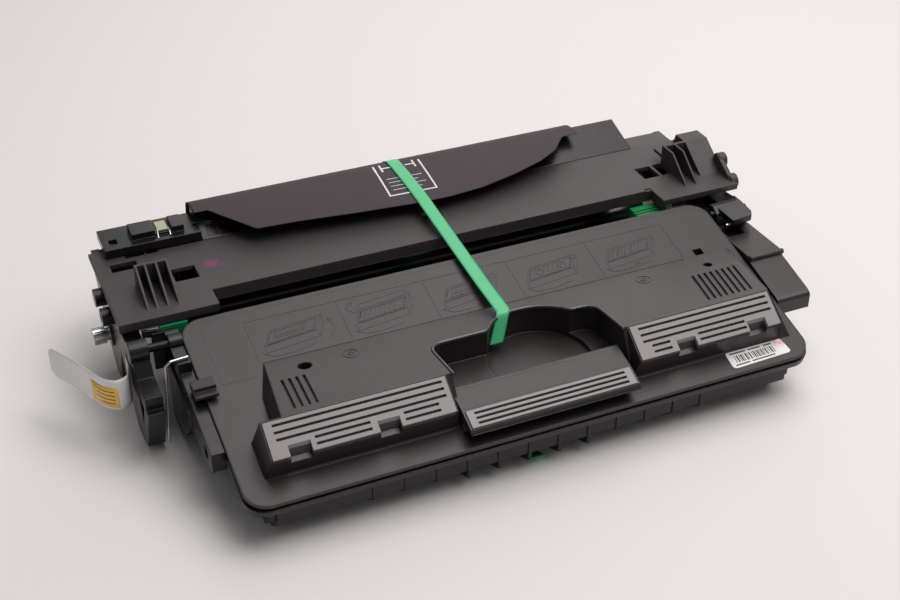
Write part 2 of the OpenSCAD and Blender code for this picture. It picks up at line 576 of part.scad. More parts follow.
// bin behind the drum for the toner that the wiper takes off
bin_x = inside(8);
hump_x = -inside(37);
module bin_shell() difference() {
    along_x(-bin_x, bin_x) polygon([[77.4, 52], [77.4, hump_z(77.4)], [106, hump_z(106)], [109, bar_h + 7], [109, 34],
        [100, 22], [84, 15], [81, 16.5], [84, 22], [84, 30], [88, 46]]);
    along_x(-bin_x + 3, bin_x - 3) bin_space();
    along_x(hump_x + 3, bin_x - 3) polygon([[80, 54], [80, bar_h - 2], [105.5, bar_h + 6.4], [106.5, bar_h + 5], [106.5, 54]]);
    // the hump stops short of the contact block at the left end
    block([-bin_x - 1, hump_x], [77, 112], [bar_h - 1, 90]);
    // two pockets in the end of the hump
    for (y = [79.5, 92.2]) translate([hump_x + 4.6, y, hump_z(y)]) rotate([hump_tilt, 0, 0]) block([0, 6.4], [0, 11.6], [-1.5, 8]);
    // mouth behind the wiper
    along_x(-bin_x + 3, bin_x - 3) polygon([[80, 20], [92, 22], [92, 33], [80, 33]]);
}
hump_tilt = 18.2;
function hump_z(y) = bar_h + 0.2 + (y - 77.4) * tan(hump_tilt);
// zone above and behind the rim of the bin, which its welded cover fills
module cover_zone() along_x(-bin_x - 1, bin_x + 1) polygon([[76, bar_h - 4], [106.5, bar_h - 4], [106.5, 33], [112, 33],
    [112, 95], [76, 95]]);
module waste_bin() color(black) difference() {
    bin_shell();
    cover_zone();
}
module bin_cover() color(black) intersection() {
    bin_shell();
    cover_zone();
}
module bin_space() polygon([[80, 54], [80, bar_h - 4], [106.5, bar_h - 4], [106.5, 35], [98.5, 24.4], [86, 19],
    [86.6, 21.6], [86.6, 29.4], [91, 47]]);
wipe_at = drum_at + (drum_r + gap) * [cos(21), sin(21)];
module wiper_bracket() color(steel) along_x(-inside(15), inside(15)) polygon([[83, 39.5], [83, 41], [76, 51], [77, 51.6], [84.4, 41.6],
    [84.4, 39.5]]);
module wiper_blade() color("#5a3d2c") along_x(-inside(18), inside(18)) polygon([wipe_at, wipe_at + [1.6, -0.6], [82.8, 39.5], [82.8, 40.8],
    [81, 40.2]]);

boss_high = [54, 59.4];
boss_low = [35.5, 57];
module plate_outline() {
    polygon([[28, bar_h - bar_t], [28, 44], [40, 16], [46, 0], [62, 0], [72, 8], [80, 20], [84, 32], [98, 52],
        [98, bar_h - bar_t]]);
    translate(drum_at) circle(19);
}
module end_plate_left() color(black) difference() {
    union() {
        along_x(-plate_x - plate_t, -plate_x) plate_outline();
        for (at = [boss_high, boss_low]) rod_x(-plate_x - 13, -plate_x - 1, 5.5, at);
        // collar around the drum pin
        rod_x(-plate_x - plate_t - 1.5, -plate_x, 8, drum_at);
        // ledge that carries the charge roller's saddle and the bin
        block([-plate_x - 1, -bin_x], [80, 97], [40, bar_h - bar_t]);
    }
    rod_x(-plate_x - 20, -plate_x + 1, neck_r + 0.03, drum_at);
    rod_x(-plate_x - 14, -plate_x - 8, 2.2, boss_low);
}
module end_plate_right() color(black) difference() {
    union() {
        along_x(plate_x - 2, plate_x + plate_t - 2) plate_outline();
        rod_x(plate_x - 2, plate_x + plate_t, 9, drum_at);
        block([bin_x, plate_x], [80, 97], [40, bar_h - bar_t]);
    }
    rod_x(plate_x - 3, plate_x + 10, pin_r + 0.03, drum_at);
}
// arm at the left end with the hinge eye and the foot
module side_arm_left() color(black) difference() {
    union() {
        along_x(-plate_x - plate_t - 1, -plate_x + 4) polygon([[28, bar_h - bar_t - 8], [28, 44], [22, 30], [0, 0], [-14, 0],
            [-26, 4], [-45, 43], [-38, 46], [-20, 47], [-14, 56], [0, bar_h - bar_t - 8]]);
        rod_x(-plate_x - plate_t - 2, -plate_x + 4, 6.4, hinge_at);
    }
    rod_x(-plate_x - 10, -plate_x + 6, hinge_r + 0.03, hinge_at);
    // three-cornered pocket in the outer face, and a step in the front
    along_x(-plate_x - plate_t - 3, -plate_x - 2) polygon([[-16, 38], [-32, 36], [-22, 16]]);
    block([-plate_x - plate_t - 3, -plate_x + 6], [-48, -38], [38, 50]);
    // slot that lets the seal strip out
    block([-plate_x - plate_t - 3, -plate_x + 6], [4, 7], [25, 50]);
}
module side_arm_right() color(black) difference() {
    union() {
        along_x(half_lid + 5, plate_x + 2) polygon([[-15, 53], [-13, 61], [-8, 64.4], [27, 60], [27, 50], [-6, 48]]);
        along_x(plate_x - 2, plate_x + 3) polygon([[28, 58], [28, 48], [-6, 48], [-15, 53], [-8, 62]]);
        // shelf over the end of the hopper
        translate([0, 0, 59.5]) linear_extrude(4) polygon([[half_lid + 8, -27.5], [half_lid + 23, -26], [half_lid + 26, -21],
            [plate_x + 3, -7], [plate_x + 3, 0], [half_lid + 8, 0]]);
    }
    rod_x(half_lid + 1, plate_x + 6, hinge_r + 0.03, hinge_at);
    block([half_lid + 4, half_lid + 12], [-4, 9], [56, 70]);
}
hinge_r = 2.5;
module hinge_pin_left() color(steel) rod_x(-plate_x - plate_t - 2, cap_x - 0.6, hinge_r, hinge_at);
module hinge_pin_right() color(steel) rod_x(half_lid + 2, plate_x + 5, hinge_r, hinge_at);

module drum_tube() color("#4a7f74") difference() {
    rod_x(-hub_x, hub_x, drum_r, drum_at);
    rod_x(-hub_x - 1, hub_x + 1, drum_r - tube_t, drum_at);
}
module drum_hub() color("#e6e4dc") difference() {
    union() {
        rod_x(-hub_x - 2, -hub_x, drum_r, drum_at);
        rod_x(-hub_x - 0.5, -hub_x + 14, drum_r - tube_t - 0.02, drum_at);
    }
    rod_x(-hub_x - 3, -hub_x + 15, pin_r + fit, drum_at);
}
module drum_gear() color("#dcdad2") union() {
    gear(drum_at, teeth_drum, phase_drum, pin_r + fit);
    difference() {
        union() {
            rod_x(hub_x - 14, hub_x + 0.5, drum_r - tube_t - 0.02, drum_at);
            rod_x(hub_x, hub_x + 2, drum_r, drum_at);
            rod_x(hub_x, x_gear + 2, 9, drum_at);
        }
        rod_x(hub_x - 15, x_gear + 3, pin_r + fit, drum_at);
    }
}
module drum_pin_left() color(steel) union() {
    rod_x(-plate_x - 16.5, -plate_x - 9, head_r, drum_at);
    rod_x(-plate_x - 9.5, -plate_x + 1, neck_r, drum_at);
    rod_x(-plate_x, -hub_x + 13, pin_r, drum_at);
}
module drum_pin_right() color(steel) union() {
    rod_x(hub_x - 13, plate_x + plate_t + 0.5, pin_r, drum_at);
    rod_x(plate_x + plate_t + 0.1, plate_x + plate_t + 3.1, end_pin_r, drum_at);
}
module charge_shaft() color(steel) rod_x(-inside(3), inside(3), pin_r, charge_at);
module charge_rubber() color("#232224") difference() {
    rod_x(-inside(18), inside(18), charge_r, charge_at);
    rod_x(-inside(17), inside(17), pin_r + 0.01, charge_at);
}
module saddle(x0) color("#e6e4dc") difference() {
    block([x0, x0 + 6], [charge_at[0] - 5.5, charge_at[0] + 5.5], [charge_at[1] - 5, charge_at[1] + 6]);
    rod_x(x0 - 1, x0 + 7, pin_r + fit, charge_at);
}
module saddle_left() saddle(-inside(4.5));
module saddle_right() saddle(inside(10.5));
// compression spring drawn as a stack of round coils on one another
module coil_spring(x, coils = 6) {
    high = bar_h - bar_t - charge_at[1] - 6.2;
    pitch = high / coils;
    color(steel) translate([x, charge_at[0], charge_at[1] + 6.1]) rotate_extrude($fn = 24)
        polygon(concat([[1.6, 0]], [for (i = [0:coils - 1]) each [[3, pitch * (i + 0.2)], [3, pitch * (i + 0.6)],
            [2.2, pitch * (i + 0.98)]]], [[1.6, high]]));
}
module saddle_spring_left() coil_spring(-inside(7.5));
module saddle_spring_right() coil_spring(inside(7.5));

// bent wire contact at the left end
module wire_run(points, r) for (i = [0:len(points) - 2]) hull() {
    translate(points[i]) sphere(r, $fn = 10);
    translate(points[i + 1]) sphere(r, $fn = 10);
}
module contact_wire() color(steel) wire_run([[cap_x - 2, -30, lid_z(-30) + 4.8],
    [cap_x - 12, -31, lid_z(-30) + 4.8], [cap_x - 15, -31, lid_z(-30) + 2], [cap_x - 18.5, -31, 8]], 0.8);
module contact_block() color(black) difference() {
    union() {
        block([bar_x[0] + 9, hump_x - gap], [78, 104], [bar_h + 0.1, bar_h + 6]);
        block([-bin_x + 2, hump_x - gap], [79, 104], [bar_h - 0.9, bar_h + 1]);
        block([bar_x[0] + 27, -inside(27.5)], [84, 98], [bar_h + 5, bar_h + 10]);
    }
    block([-inside(9.5), -inside(20)], [80, 105], [bar_h + 7.5, bar_h + 14]);
    for (x = [bar_x[0] + 13, -inside(34)]) block([x, x + 5], [84, 90], [bar_h + 3, bar_h + 8]);
}
module contact_strip() color("#c7cfa0") block([-inside(11.5), -inside(18)], [86, 97], [bar_h + 7.5, bar_h + 8.3]);

// Packing

// closed outline of a band of thickness t along a line of points in the plane
function band_normal(p, i) = let (a = p[max(i - 1, 0)], b = p[min(i + 1, len(p) - 1)], d = (b - a) / norm(b - a))
    [-d[1], d[0]];
function band(p, t) = concat(p, [for (i = [len(p) - 1:-1:0]) p[i] + t * band_normal(p, i)]);

sheet_t = 0.5;
sheet_w = lid_w - 80;
sheet_line = [[50, 77.4], [66, 79.3], [82, 80.6], [96, 81.3], [104, 81.2], [110, 78.4], [112.5, 72], [112.8, 50],
    [112, 34], [107, 22], [97, 13], [84, 7.5], [70, 5.2], [52, 4.2]];
module packing_sheet() color("#564c50") difference() {
    along_x(-sheet_w / 2, sheet_w / 2) polygon(band(sheet_line, sheet_t));
    // front edge, bowed in the middle and cut back to both ends
    translate([0, 0, 70]) scale([sheet_w / 270, 1, 1]) linear_extrude(20) polygon([[-140, 40], [140, 40], [140, 106], [135, 105], [110, 70], [92, 66],
        [70, 59.5], [42, 53.5], [14, 51.5], [-12, 52], [-43, 54.5], [-80, 58], [-108, 58.5], [-135, 103], [-140, 104]]);
}
tape_t = 0.35;
tape_w = 8.6;
tape_front = [[-66, 38.3], [-58.6, 38.6], [-57.2, 57], [-55.5, 58.6], [50, 78.2], [53.5, 78.64]];
tape_over = [[52.5, 78.51], [66, 80.2], [82, 81.5], [96, 82.2], [104.4, 82.1], [110.8, 79], [113.5, 72.2], [113.8, 55]];
tape_under = [[113.8, 56], [113.8, 50], [113, 33.8], [107.7, 21.4], [97.4, 12.2], [84.2, 6.7], [70, 4.4], [52, 3.3],
    [30, 1.6], [18, 0.6], [-115.5, 0.5], [-118.3, 2.1], [-126.5, 6.3]];
// stretch of tape that lies at x where y is at_y, and leans by lean from there
module tape_part(line, x, at_y, lean) multmatrix([[1, lean, 0, x - lean * at_y], [0, 1, 0, 0], [0, 0, 1, 0],
    [0, 0, 0, 1]]) along_x(-tape_w / 2, tape_w / 2) polygon(band(line, tape_t));
module packing_tape() color("#2fb573") {
    tape_part(tape_front, 0.45, 53, -0.05);
    tape_part(tape_over, 0.45, 53, -0.023);
    tape_part(tape_under, -0.95, 113.8, 0.014);
}

hopper_frame();
hopper_lid();
grip_pad_left();
grip_pad_right();
handle_grip();
left_end_cap();
left_end_clip();
right_end_cover();
gear_cover();
fill_plug();
seal_film();
pull_tab();
developer_sleeve();
developer_gear();
magnet_core();
bushing_left();
bushing_right();
blade_bracket();
doctor_blade();
blade_screw_left();
blade_screw_right();
agitator_shaft();
agitator_sheet();
agitator_gear();
idler_gear();
idler_pin();
edge_guide_left();
edge_guide_right();
waste_bin();
bin_cover();
top_bar();
end_plate_left();
end_plate_right();
side_arm_left();
side_arm_right();
drum_tube();
drum_hub();
drum_gear();
drum_pin_left();
drum_pin_right();
charge_shaft();
charge_rubber();
saddle_left();
saddle_right();
saddle_spring_left();
saddle_spring_right();
wiper_bracket();
wiper_blade();
hinge_pin_left();
hinge_pin_right();
contact_wire();
contact_block();
contact_strip();
packing_sheet();
packing_tape();
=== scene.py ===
"""Looks of a toner cartridge for a wide-format laser printer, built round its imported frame.

Shapes are worked out in millimetres in the frame's axes: X along the drum to the gear end, Y from the
handle to the drum, Z up from the surface that it rests on. They go into the meshes in metres.
"""

import bpy
import numpy as np
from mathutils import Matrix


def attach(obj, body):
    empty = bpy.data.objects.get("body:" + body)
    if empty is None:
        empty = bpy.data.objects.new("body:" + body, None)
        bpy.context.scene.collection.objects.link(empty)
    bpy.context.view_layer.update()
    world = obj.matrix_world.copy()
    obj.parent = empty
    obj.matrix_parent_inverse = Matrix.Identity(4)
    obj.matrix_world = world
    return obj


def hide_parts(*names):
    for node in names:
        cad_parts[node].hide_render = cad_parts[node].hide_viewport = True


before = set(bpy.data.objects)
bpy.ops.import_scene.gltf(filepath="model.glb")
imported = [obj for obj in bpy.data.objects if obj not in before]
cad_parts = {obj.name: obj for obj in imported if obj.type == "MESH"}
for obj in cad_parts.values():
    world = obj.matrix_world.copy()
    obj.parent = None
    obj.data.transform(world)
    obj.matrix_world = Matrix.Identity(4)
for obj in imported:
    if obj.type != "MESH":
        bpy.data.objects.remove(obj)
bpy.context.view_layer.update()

MM = 0.001
BODY = "cartridge"

# Places that the pieces share with the frame

LID_BACK = 65.0
LID_TILT = np.radians(14.2)
FOLD_Y = -42.5
PAD_Y = -102.8
PAD_Z = 62.5
PAD_TILT = np.radians(35)
BAR_TOP = 69.0


def lid_z(y):
    """Height of the lid's plane over y."""
    return LID_BACK + y * np.tan(LID_TILT)


DECK_SLOPE = (PAD_Z - lid_z(FOLD_Y)) / (PAD_Y - FOLD_Y)
DECK_TILT = np.arctan(DECK_SLOPE)


def deck_z(y):
    """Height of the raised deck over y."""
    return lid_z(FOLD_Y) + (y - FOLD_Y) * DECK_SLOPE


def sloped(x, y, z, tilt, high):
    """Points over x and y on a plane that rises by tilt along Y, moved out of it by high."""
    x, y, z, high = np.broadcast_arrays(x, y, z, high)
    return np.stack([x, y - high * np.sin(tilt), z + high * np.cos(tilt)], axis=-1)


def on_lid(x, y, high):
    """Points over the lid's plane."""
    return sloped(x, y, lid_z(np.asarray(y, float)), LID_TILT, high)


def on_deck(x, y, high):
    """Points over the raised deck."""
    return sloped(x, y, deck_z(np.asarray(y, float)), DECK_TILT, high)


def on_pad(x, run, high):
    """Points over a sloping pad, run millimetres down from its back edge."""
    run = np.asarray(run, float)
    y = PAD_Y - run * np.cos(PAD_TILT)
    return sloped(x, y, PAD_Z - run * np.sin(PAD_TILT), PAD_TILT, high)


def on_bar(x, y, high):
    """Points over the flat top of the bar."""
    x, y, high = np.broadcast_arrays(x, y, high)
    return np.stack([x, y, BAR_TOP + high], axis=-1)


# Meshes from grids, profiles and lines


def piece(name, points, faces, finish, smooth=True):
    """An object from points in millimetres and lists of corners, riding on the cartridge."""
    mesh = bpy.data.meshes.new(name)
    mesh.from_pydata((np.asarray(points, float).reshape(-1, 3) * MM).tolist(), [], faces)
    mesh.update(calc_edges=True)
    mesh.polygons.foreach_set("use_smooth", np.full(len(mesh.polygons), smooth))
    mesh.materials.append(FINISH[finish])
    made = bpy.data.objects.new(name, mesh)
    bpy.context.scene.collection.objects.link(made)
    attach(made, BODY)
    return made


def grid_faces(rows, columns, loop_rows=False, loop_columns=False):
    """Corners of each cell of a grid of points counted row by row."""
    i = np.arange(rows if loop_rows else rows - 1)
    j = np.arange(columns if loop_columns else columns - 1)
    i, j = np.meshgrid(i, j, indexing="ij")
    k, m = (i + 1) % rows, (j + 1) % columns
    corners = [i * columns + j, k * columns + j, k * columns + m, i * columns + m]
    return np.stack(corners, axis=-1).reshape(-1, 4)


def spline(points, count):
    """A smooth line through points, as cubic pieces with the slopes of the chords, cut evenly."""
    p = np.asarray(points, float)
    t = np.concatenate([[0], np.cumsum(np.linalg.norm(np.diff(p, axis=0), axis=1))])
    slope = np.gradient(p, t, axis=0)
    s = np.linspace(0, t[-1], count)
    i = np.clip(np.searchsorted(t, s, side="right") - 1, 0, len(t) - 2)
    h = (t[i + 1] - t[i])[:, None]
    f = (s - t[i])[:, None] / h
    start = (2 * f**3 - 3 * f**2 + 1) * p[i] + (f**3 - 2 * f**2 + f) * h * slope[i]
    return start + (3 * f**2 - 2 * f**3) * p[i + 1] + (f**3 - f**2) * h * slope[i + 1]


def unit(v):
    """Vectors scaled to length one."""
    return v / np.linalg.norm(v, axis=-1, keepdims=True)


def sweep_points(path, profile, side, closed=False):
    """Points of a profile carried along a path: path + across * a + up * b for each pair a, b of the
    profile, where up stands square to the path and to the side that is given, and across on both."""
    path = np.asarray(path, float)
    run = np.roll(path, -1, 0) - np.roll(path, 1, 0) if closed else np.gradient(path, axis=0)
    run = unit(run)
    up = unit(np.cross(np.broadcast_to(side, path.shape), run))
    across = np.cross(run, up)
    profile = np.asarray(profile, float)
    return path[:, None] + across[:, None] * profile[None, :, :1] + up[:, None] * profile[None, :, 1:]


def swept(name, path, profile, side, finish, closed=False, smooth=True):
    """A solid whose closed section is the profile carried along the path, capped at open ends."""
    points = sweep_points(path, profile, side, closed)
    rows, columns = points.shape[:2]
    faces = grid_faces(rows, columns, closed, True).tolist()
    if not closed:
        faces += [list(range(columns)), list(range(rows * columns - 1, (rows - 1) * columns - 1, -1))]
    return piece(name, points, faces, finish, smooth)


def mitres(line, closed):
    """Offset directions at the corners of a flat line, long enough to keep its width in the bends."""
    step = np.diff(np.vstack([line, line[:1]]) if closed else line, axis=0)
    normal = unit(np.stack([-step[:, 1], step[:, 0]], axis=1))
    before = np.roll(normal, 1, axis=0) if closed else np.vstack([normal[:1], normal])
    after = normal if closed else np.vstack([normal, normal[-1:]])
    both = before + after
    return 2 * both / np.maximum((both**2).sum(1, keepdims=True), 0.7)


def strokes(name, lines, place, width, high, finish, sunk=0.12):
    """Raised lines on a surface. Each flat line is widened to a strip with a crowned section of four
    points, and place turns its flat points and heights into space."""
    across = np.array([-0.5, -0.3, 0.3, 0.5]) * width
    heights = np.array([-sunk, high, high, -sunk])
    points = []
    faces = []
    count = 0
    for line in lines:
        line = np.asarray(line, float)
        closed = bool(np.allclose(line[0], line[-1])) and len(line) > 3
        line = line[:-1] if closed else line
        out = mitres(line, closed)
        flat = line[:, None] + out[:, None] * across[None, :, None]
        points.append(place(flat[..., 0], flat[..., 1], heights[None, :]).reshape(-1, 3))
        rows = len(line)
        faces += (grid_faces(rows, 4, closed, True) + count).tolist()
        if not closed:
            last = count + (rows - 1) * 4
            faces += [[count + k for k in (0, 1, 2, 3)], [last + k for k in (3, 2, 1, 0)]]
        count += rows * 4
    made = piece(name, np.concatenate(points), faces, finish, smooth=False)
    outwards(made)
    return made


def outwards(made):
    """Turns a closed mesh's faces to point outwards."""
    import bmesh

    work = bmesh.new()
    work.from_mesh(made.data)
    bmesh.ops.recalc_face_normals(work, faces=work.faces)
    work.to_mesh(made.data)
    work.free()


def circle(x, y, radius, count=32, start=0.0, turn=360.0):
    """Points of a flat arc about x, y."""
    a = np.radians(start + np.linspace(0, turn, count))
    return np.stack([x + radius * np.cos(a), y + radius * np.sin(a)], axis=1)


def rounded(x0, x1, y0, y1, radius, corner=6):
    """A flat rectangle with rounded corners, as a closed line."""
    centres = [(x1 - radius, y1 - radius), (x0 + radius, y1 - radius), (x0 + radius, y0 + radius), (x1 - radius, y0 + radius)]
    arcs = [circle(cx, cy, radius, corner, 90 * k, 90) for k, (cx, cy) in enumerate(centres)]
    line = np.vstack(arcs)
    return np.vstack([line, line[:1]])


def plate(name, outline, place, low, high, finish, round_edge=0.15):
    """A thin plate over a closed flat outline, with its top edge drawn in by round_edge."""
    line = np.asarray(outline, float)[:-1]
    out = mitres(line, True)
    rings = [(0, low), (0, high - round_edge), (0.4, high - 0.25 * round_edge), (1, high)]
    points = [place(*(line + out * round_edge * a).T, h) for a, h in rings]
    n = len(line)
    faces = grid_faces(len(rings), n, False, True).tolist()
    faces += [list(range(n)), list(range(4 * n - 1, 3 * n - 1, -1))]
    made = piece(name, np.concatenate(points), faces, finish, smooth=False)
    outwards(made)
    return made


# Node groups shared by the finishes


def add(tree, kind, inputs=(), **settings):
    """A node of one kind, with its settings and with its inputs given as values or as sockets."""
    made = tree.nodes.new(kind)
    for key, value in settings.items():
        setattr(made, key, value)
    for key, value in dict(inputs).items():
        if isinstance(value, bpy.types.NodeSocket):
            tree.links.new(value, made.inputs[key])
        else:
            made.inputs[key].default_value = value
    return made


def new_group(name, inputs, outputs):
    """An empty node group with named inputs and outputs, and its two end nodes."""
    tree = bpy.data.node_groups.new(name, "ShaderNodeTree")
    kinds = {"f": "NodeSocketFloat", "v": "NodeSocketVector", "c": "NodeSocketColor"}
    for label, kind, value in inputs:
        socket = tree.interface.new_socket(label, in_out="INPUT", socket_type=kinds[kind])
        if value is not None:
            socket.default_value = value
    for label, kind in outputs:
        tree.interface.new_socket(label, in_out="OUTPUT", socket_type=kinds[kind])
    return tree, tree.nodes.new("NodeGroupInput"), tree.nodes.new("NodeGroupOutput")


def moulded_group():
    """Injection moulded plastic: fine grain as height, slow drifts of gloss, and rubbed grey marks."""
    tree, given, result = new_group(
        "moulded_plastic",
        [
            ("Vector", "v", None),
            ("Colour", "c", (0.05, 0.05, 0.05, 1)),
            ("Rubbed Colour", "c", (0.12, 0.12, 0.12, 1)),
            ("Grain per Metre", "f", 1800.0),
            ("Grain Height", "f", 0.5),
            ("Gloss", "f", 0.45),
            ("Gloss Drift", "f", 0.12),
            ("Rubbing", "f", 0.3),
        ],
        [("Colour", "c"), ("Roughness", "f"), ("Height", "f")],
    )
    fine = add(tree, "ShaderNodeTexNoise", {"Vector": given.outputs["Vector"], "Scale": given.outputs["Grain per Metre"], "Detail": 2.0, "Roughness": 0.6})
    slow = add(tree, "ShaderNodeTexNoise", {"Vector": given.outputs["Vector"], "Scale": 22.0, "Detail": 5.0, "Roughness": 0.62})
    stretch = add(tree, "ShaderNodeMapping", {"Vector": given.outputs["Vector"], "Scale": (28.0, 260.0, 260.0)})
    streak = add(tree, "ShaderNodeTexNoise", {"Vector": stretch.outputs["Vector"], "Scale": 1.0, "Detail": 4.0, "Roughness": 0.7})
    rubbed = add(tree, "ShaderNodeMapRange", {"Value": streak.outputs["Fac"], "From Min": 0.62, "From Max": 0.86})
    patch = add(tree, "ShaderNodeMapRange", {"Value": slow.outputs["Fac"], "From Min": 0.45, "From Max": 0.75})
    mask = add(tree, "ShaderNodeMath", {0: rubbed.outputs["Result"], 1: patch.outputs["Result"]}, operation="MULTIPLY")
    mask = add(tree, "ShaderNodeMath", {0: mask.outputs[0], 1: given.outputs["Rubbing"]}, operation="MULTIPLY")
    colour = add(tree, "ShaderNodeMix", {"Factor": mask.outputs[0], "A": given.outputs["Colour"], "B": given.outputs["Rubbed Colour"]}, data_type="RGBA")
    drift = add(tree, "ShaderNodeMath", {0: slow.outputs["Fac"], 1: 0.5}, operation="SUBTRACT")
    drift = add(tree, "ShaderNodeMath", {0: drift.outputs[0], 1: given.outputs["Gloss Drift"]}, operation="MULTIPLY")
    gloss = add(tree, "ShaderNodeMath", {0: given.outputs["Gloss"], 1: drift.outputs[0]}, operation="ADD", use_clamp=True)
    grain = add(tree, "ShaderNodeMath", {0: fine.outputs["Fac"], 1: given.outputs["Grain Height"]}, operation="MULTIPLY")
    tree.links.new(colour.outputs["Result"], result.inputs["Colour"])
    tree.links.new(gloss.outputs[0], result.inputs["Roughness"])
    tree.links.new(grain.outputs[0], result.inputs["Height"])
    return tree


def stain_group():
    """A soft blot about a point: the distance from it, ruffled by noise, fades from one to nought."""
    tree, given, result = new_group(
        "blot",
        [("Vector", "v", None), ("Centre", "v", (0, 0, 0)), ("Reach", "f", 0.005), ("Under", "c", (0, 0, 0, 1)), ("Stain", "c", (0.3, 0, 0.1, 1)), ("Strength", "f", 0.6)],
        [("Colour", "c")],
    )
    ruffle = add(tree, "ShaderNodeTexNoise", {"Vector": given.outputs["Vector"], "Scale": 420.0, "Detail": 3.0})
    away = add(tree, "ShaderNodeVectorMath", {0: given.outputs["Vector"], 1: given.outputs["Centre"]}, operation="DISTANCE")
    share = add(tree, "ShaderNodeMath", {0: away.outputs["Value"], 1: given.outputs["Reach"]}, operation="DIVIDE")
    rough = add(tree, "ShaderNodeMath", {0: ruffle.outputs["Fac"], 1: 1.6, 2: share.outputs[0]}, operation="MULTIPLY_ADD")
    fade = add(tree, "ShaderNodeMapRange", {"Value": rough.outputs[0], "From Min": 1.5, "From Max": 1.05})
    factor = add(tree, "ShaderNodeMath", {0: fade.outputs["Result"], 1: given.outputs["Strength"]}, operation="MULTIPLY")
    mixed = add(tree, "ShaderNodeMix", {"Factor": factor.outputs[0], "A": given.outputs["Under"], "B": given.outputs["Stain"]}, data_type="RGBA")
    tree.links.new(mixed.outputs["Result"], result.inputs["Colour"])
    return tree


MOULDED = moulded_group()
BLOT = stain_group()


def grouped(tree, group, inputs):
    """A node that uses a node group."""
    made = tree.nodes.new("ShaderNodeGroup")
    made.node_tree = group
    for key, value in inputs.items():
        if isinstance(value, bpy.types.NodeSocket):
            tree.links.new(value, made.inputs[key])
        else:
            made.inputs[key].default_value = value
    return made


def new_finish(name):
    """An empty material with its Principled shader and object coordinates."""
    made = bpy.data.materials.new(name)
    made.use_nodes = True
    tree = made.node_tree
    shader = tree.nodes["Principled BSDF"]
    place = tree.nodes.new("ShaderNodeTexCoord").outputs["Object"]
    return made, tree, shader, place


def plastic(name, colour, rubbed, gloss, grain=1800.0, grain_height=0.5, drift=0.12, rubbing=0.3, edge=0.5, bump=0.00004, stains=(), specular=0.5):
    """Moulded plastic with grain, rounded edges of edge millimetres and stains given as
    (centre in millimetres, reach in millimetres, colour, strength)."""
    made, tree, shader, place = new_finish(name)
    skin = grouped(tree, MOULDED, {"Vector": place, "Colour": (*colour, 1), "Rubbed Colour": (*rubbed, 1), "Grain per Metre": grain, "Grain Height": grain_height, "Gloss": gloss, "Gloss Drift": drift, "Rubbing": rubbing})
    shown = skin.outputs["Colour"]
    for centre, reach, stain, strength in stains:
        shown = grouped(tree, BLOT, {"Vector": place, "Centre": [c * MM for c in centre], "Reach": reach * MM, "Under": shown, "Stain": (*stain, 1), "Strength": strength}).outputs["Colour"]
    tree.links.new(shown, shader.inputs["Base Color"])
    tree.links.new(skin.outputs["Roughness"], shader.inputs["Roughness"])
    soft = add(tree, "ShaderNodeBevel", {"Radius": edge * MM}, samples=6)
    relief = add(tree, "ShaderNodeBump", {"Height": skin.outputs["Height"], "Distance": bump * 10, "Strength": 0.35, "Normal": soft.outputs["Normal"]})
    tree.links.new(relief.outputs["Normal"], shader.inputs["Normal"])
    shader.inputs["Specular IOR Level"].default_value = specular
    return made


def metal(name, colour, gloss, along=(1, 1, 1)):
    """Drawn or plated steel: fine streaks along one axis drive gloss and height."""
    made, tree, shader, place = new_finish(name)
    stretch = add(tree, "ShaderNodeMapping", {"Vector": place, "Scale": along})
    streak = add(tree, "ShaderNodeTexNoise", {"Vector": stretch.outputs["Vector"], "Scale": 500.0, "Detail": 2.0})
    slow = add(tree, "ShaderNodeTexNoise", {"Vector": place, "Scale": 60.0, "Detail": 3.0})
    dull = add(tree, "ShaderNodeMix", {"Factor": slow.outputs["Fac"], "A": (*colour, 1), "B": (*[c * 0.78 for c in colour], 1)}, data_type="RGBA")
    tree.links.new(dull.outputs["Result"], shader.inputs["Base Color"])
    rough = add(tree, "ShaderNodeMapRange", {"Value": streak.outputs["Fac"], "To Min": gloss - 0.07, "To Max": gloss + 0.1})
    tree.links.new(rough.outputs["Result"], shader.inputs["Roughness"])
    shader.inputs["Metallic"].default_value = 1.0
    soft = add(tree, "ShaderNodeBevel", {"Radius": 0.4 * MM}, samples=6)
    relief = add(tree, "ShaderNodeBump", {"Height": streak.outputs["Fac"], "Distance": 0.00005, "Strength": 0.3, "Normal": soft.outputs["Normal"]})
    tree.links.new(relief.outputs["Normal"], shader.inputs["Normal"])
    return made


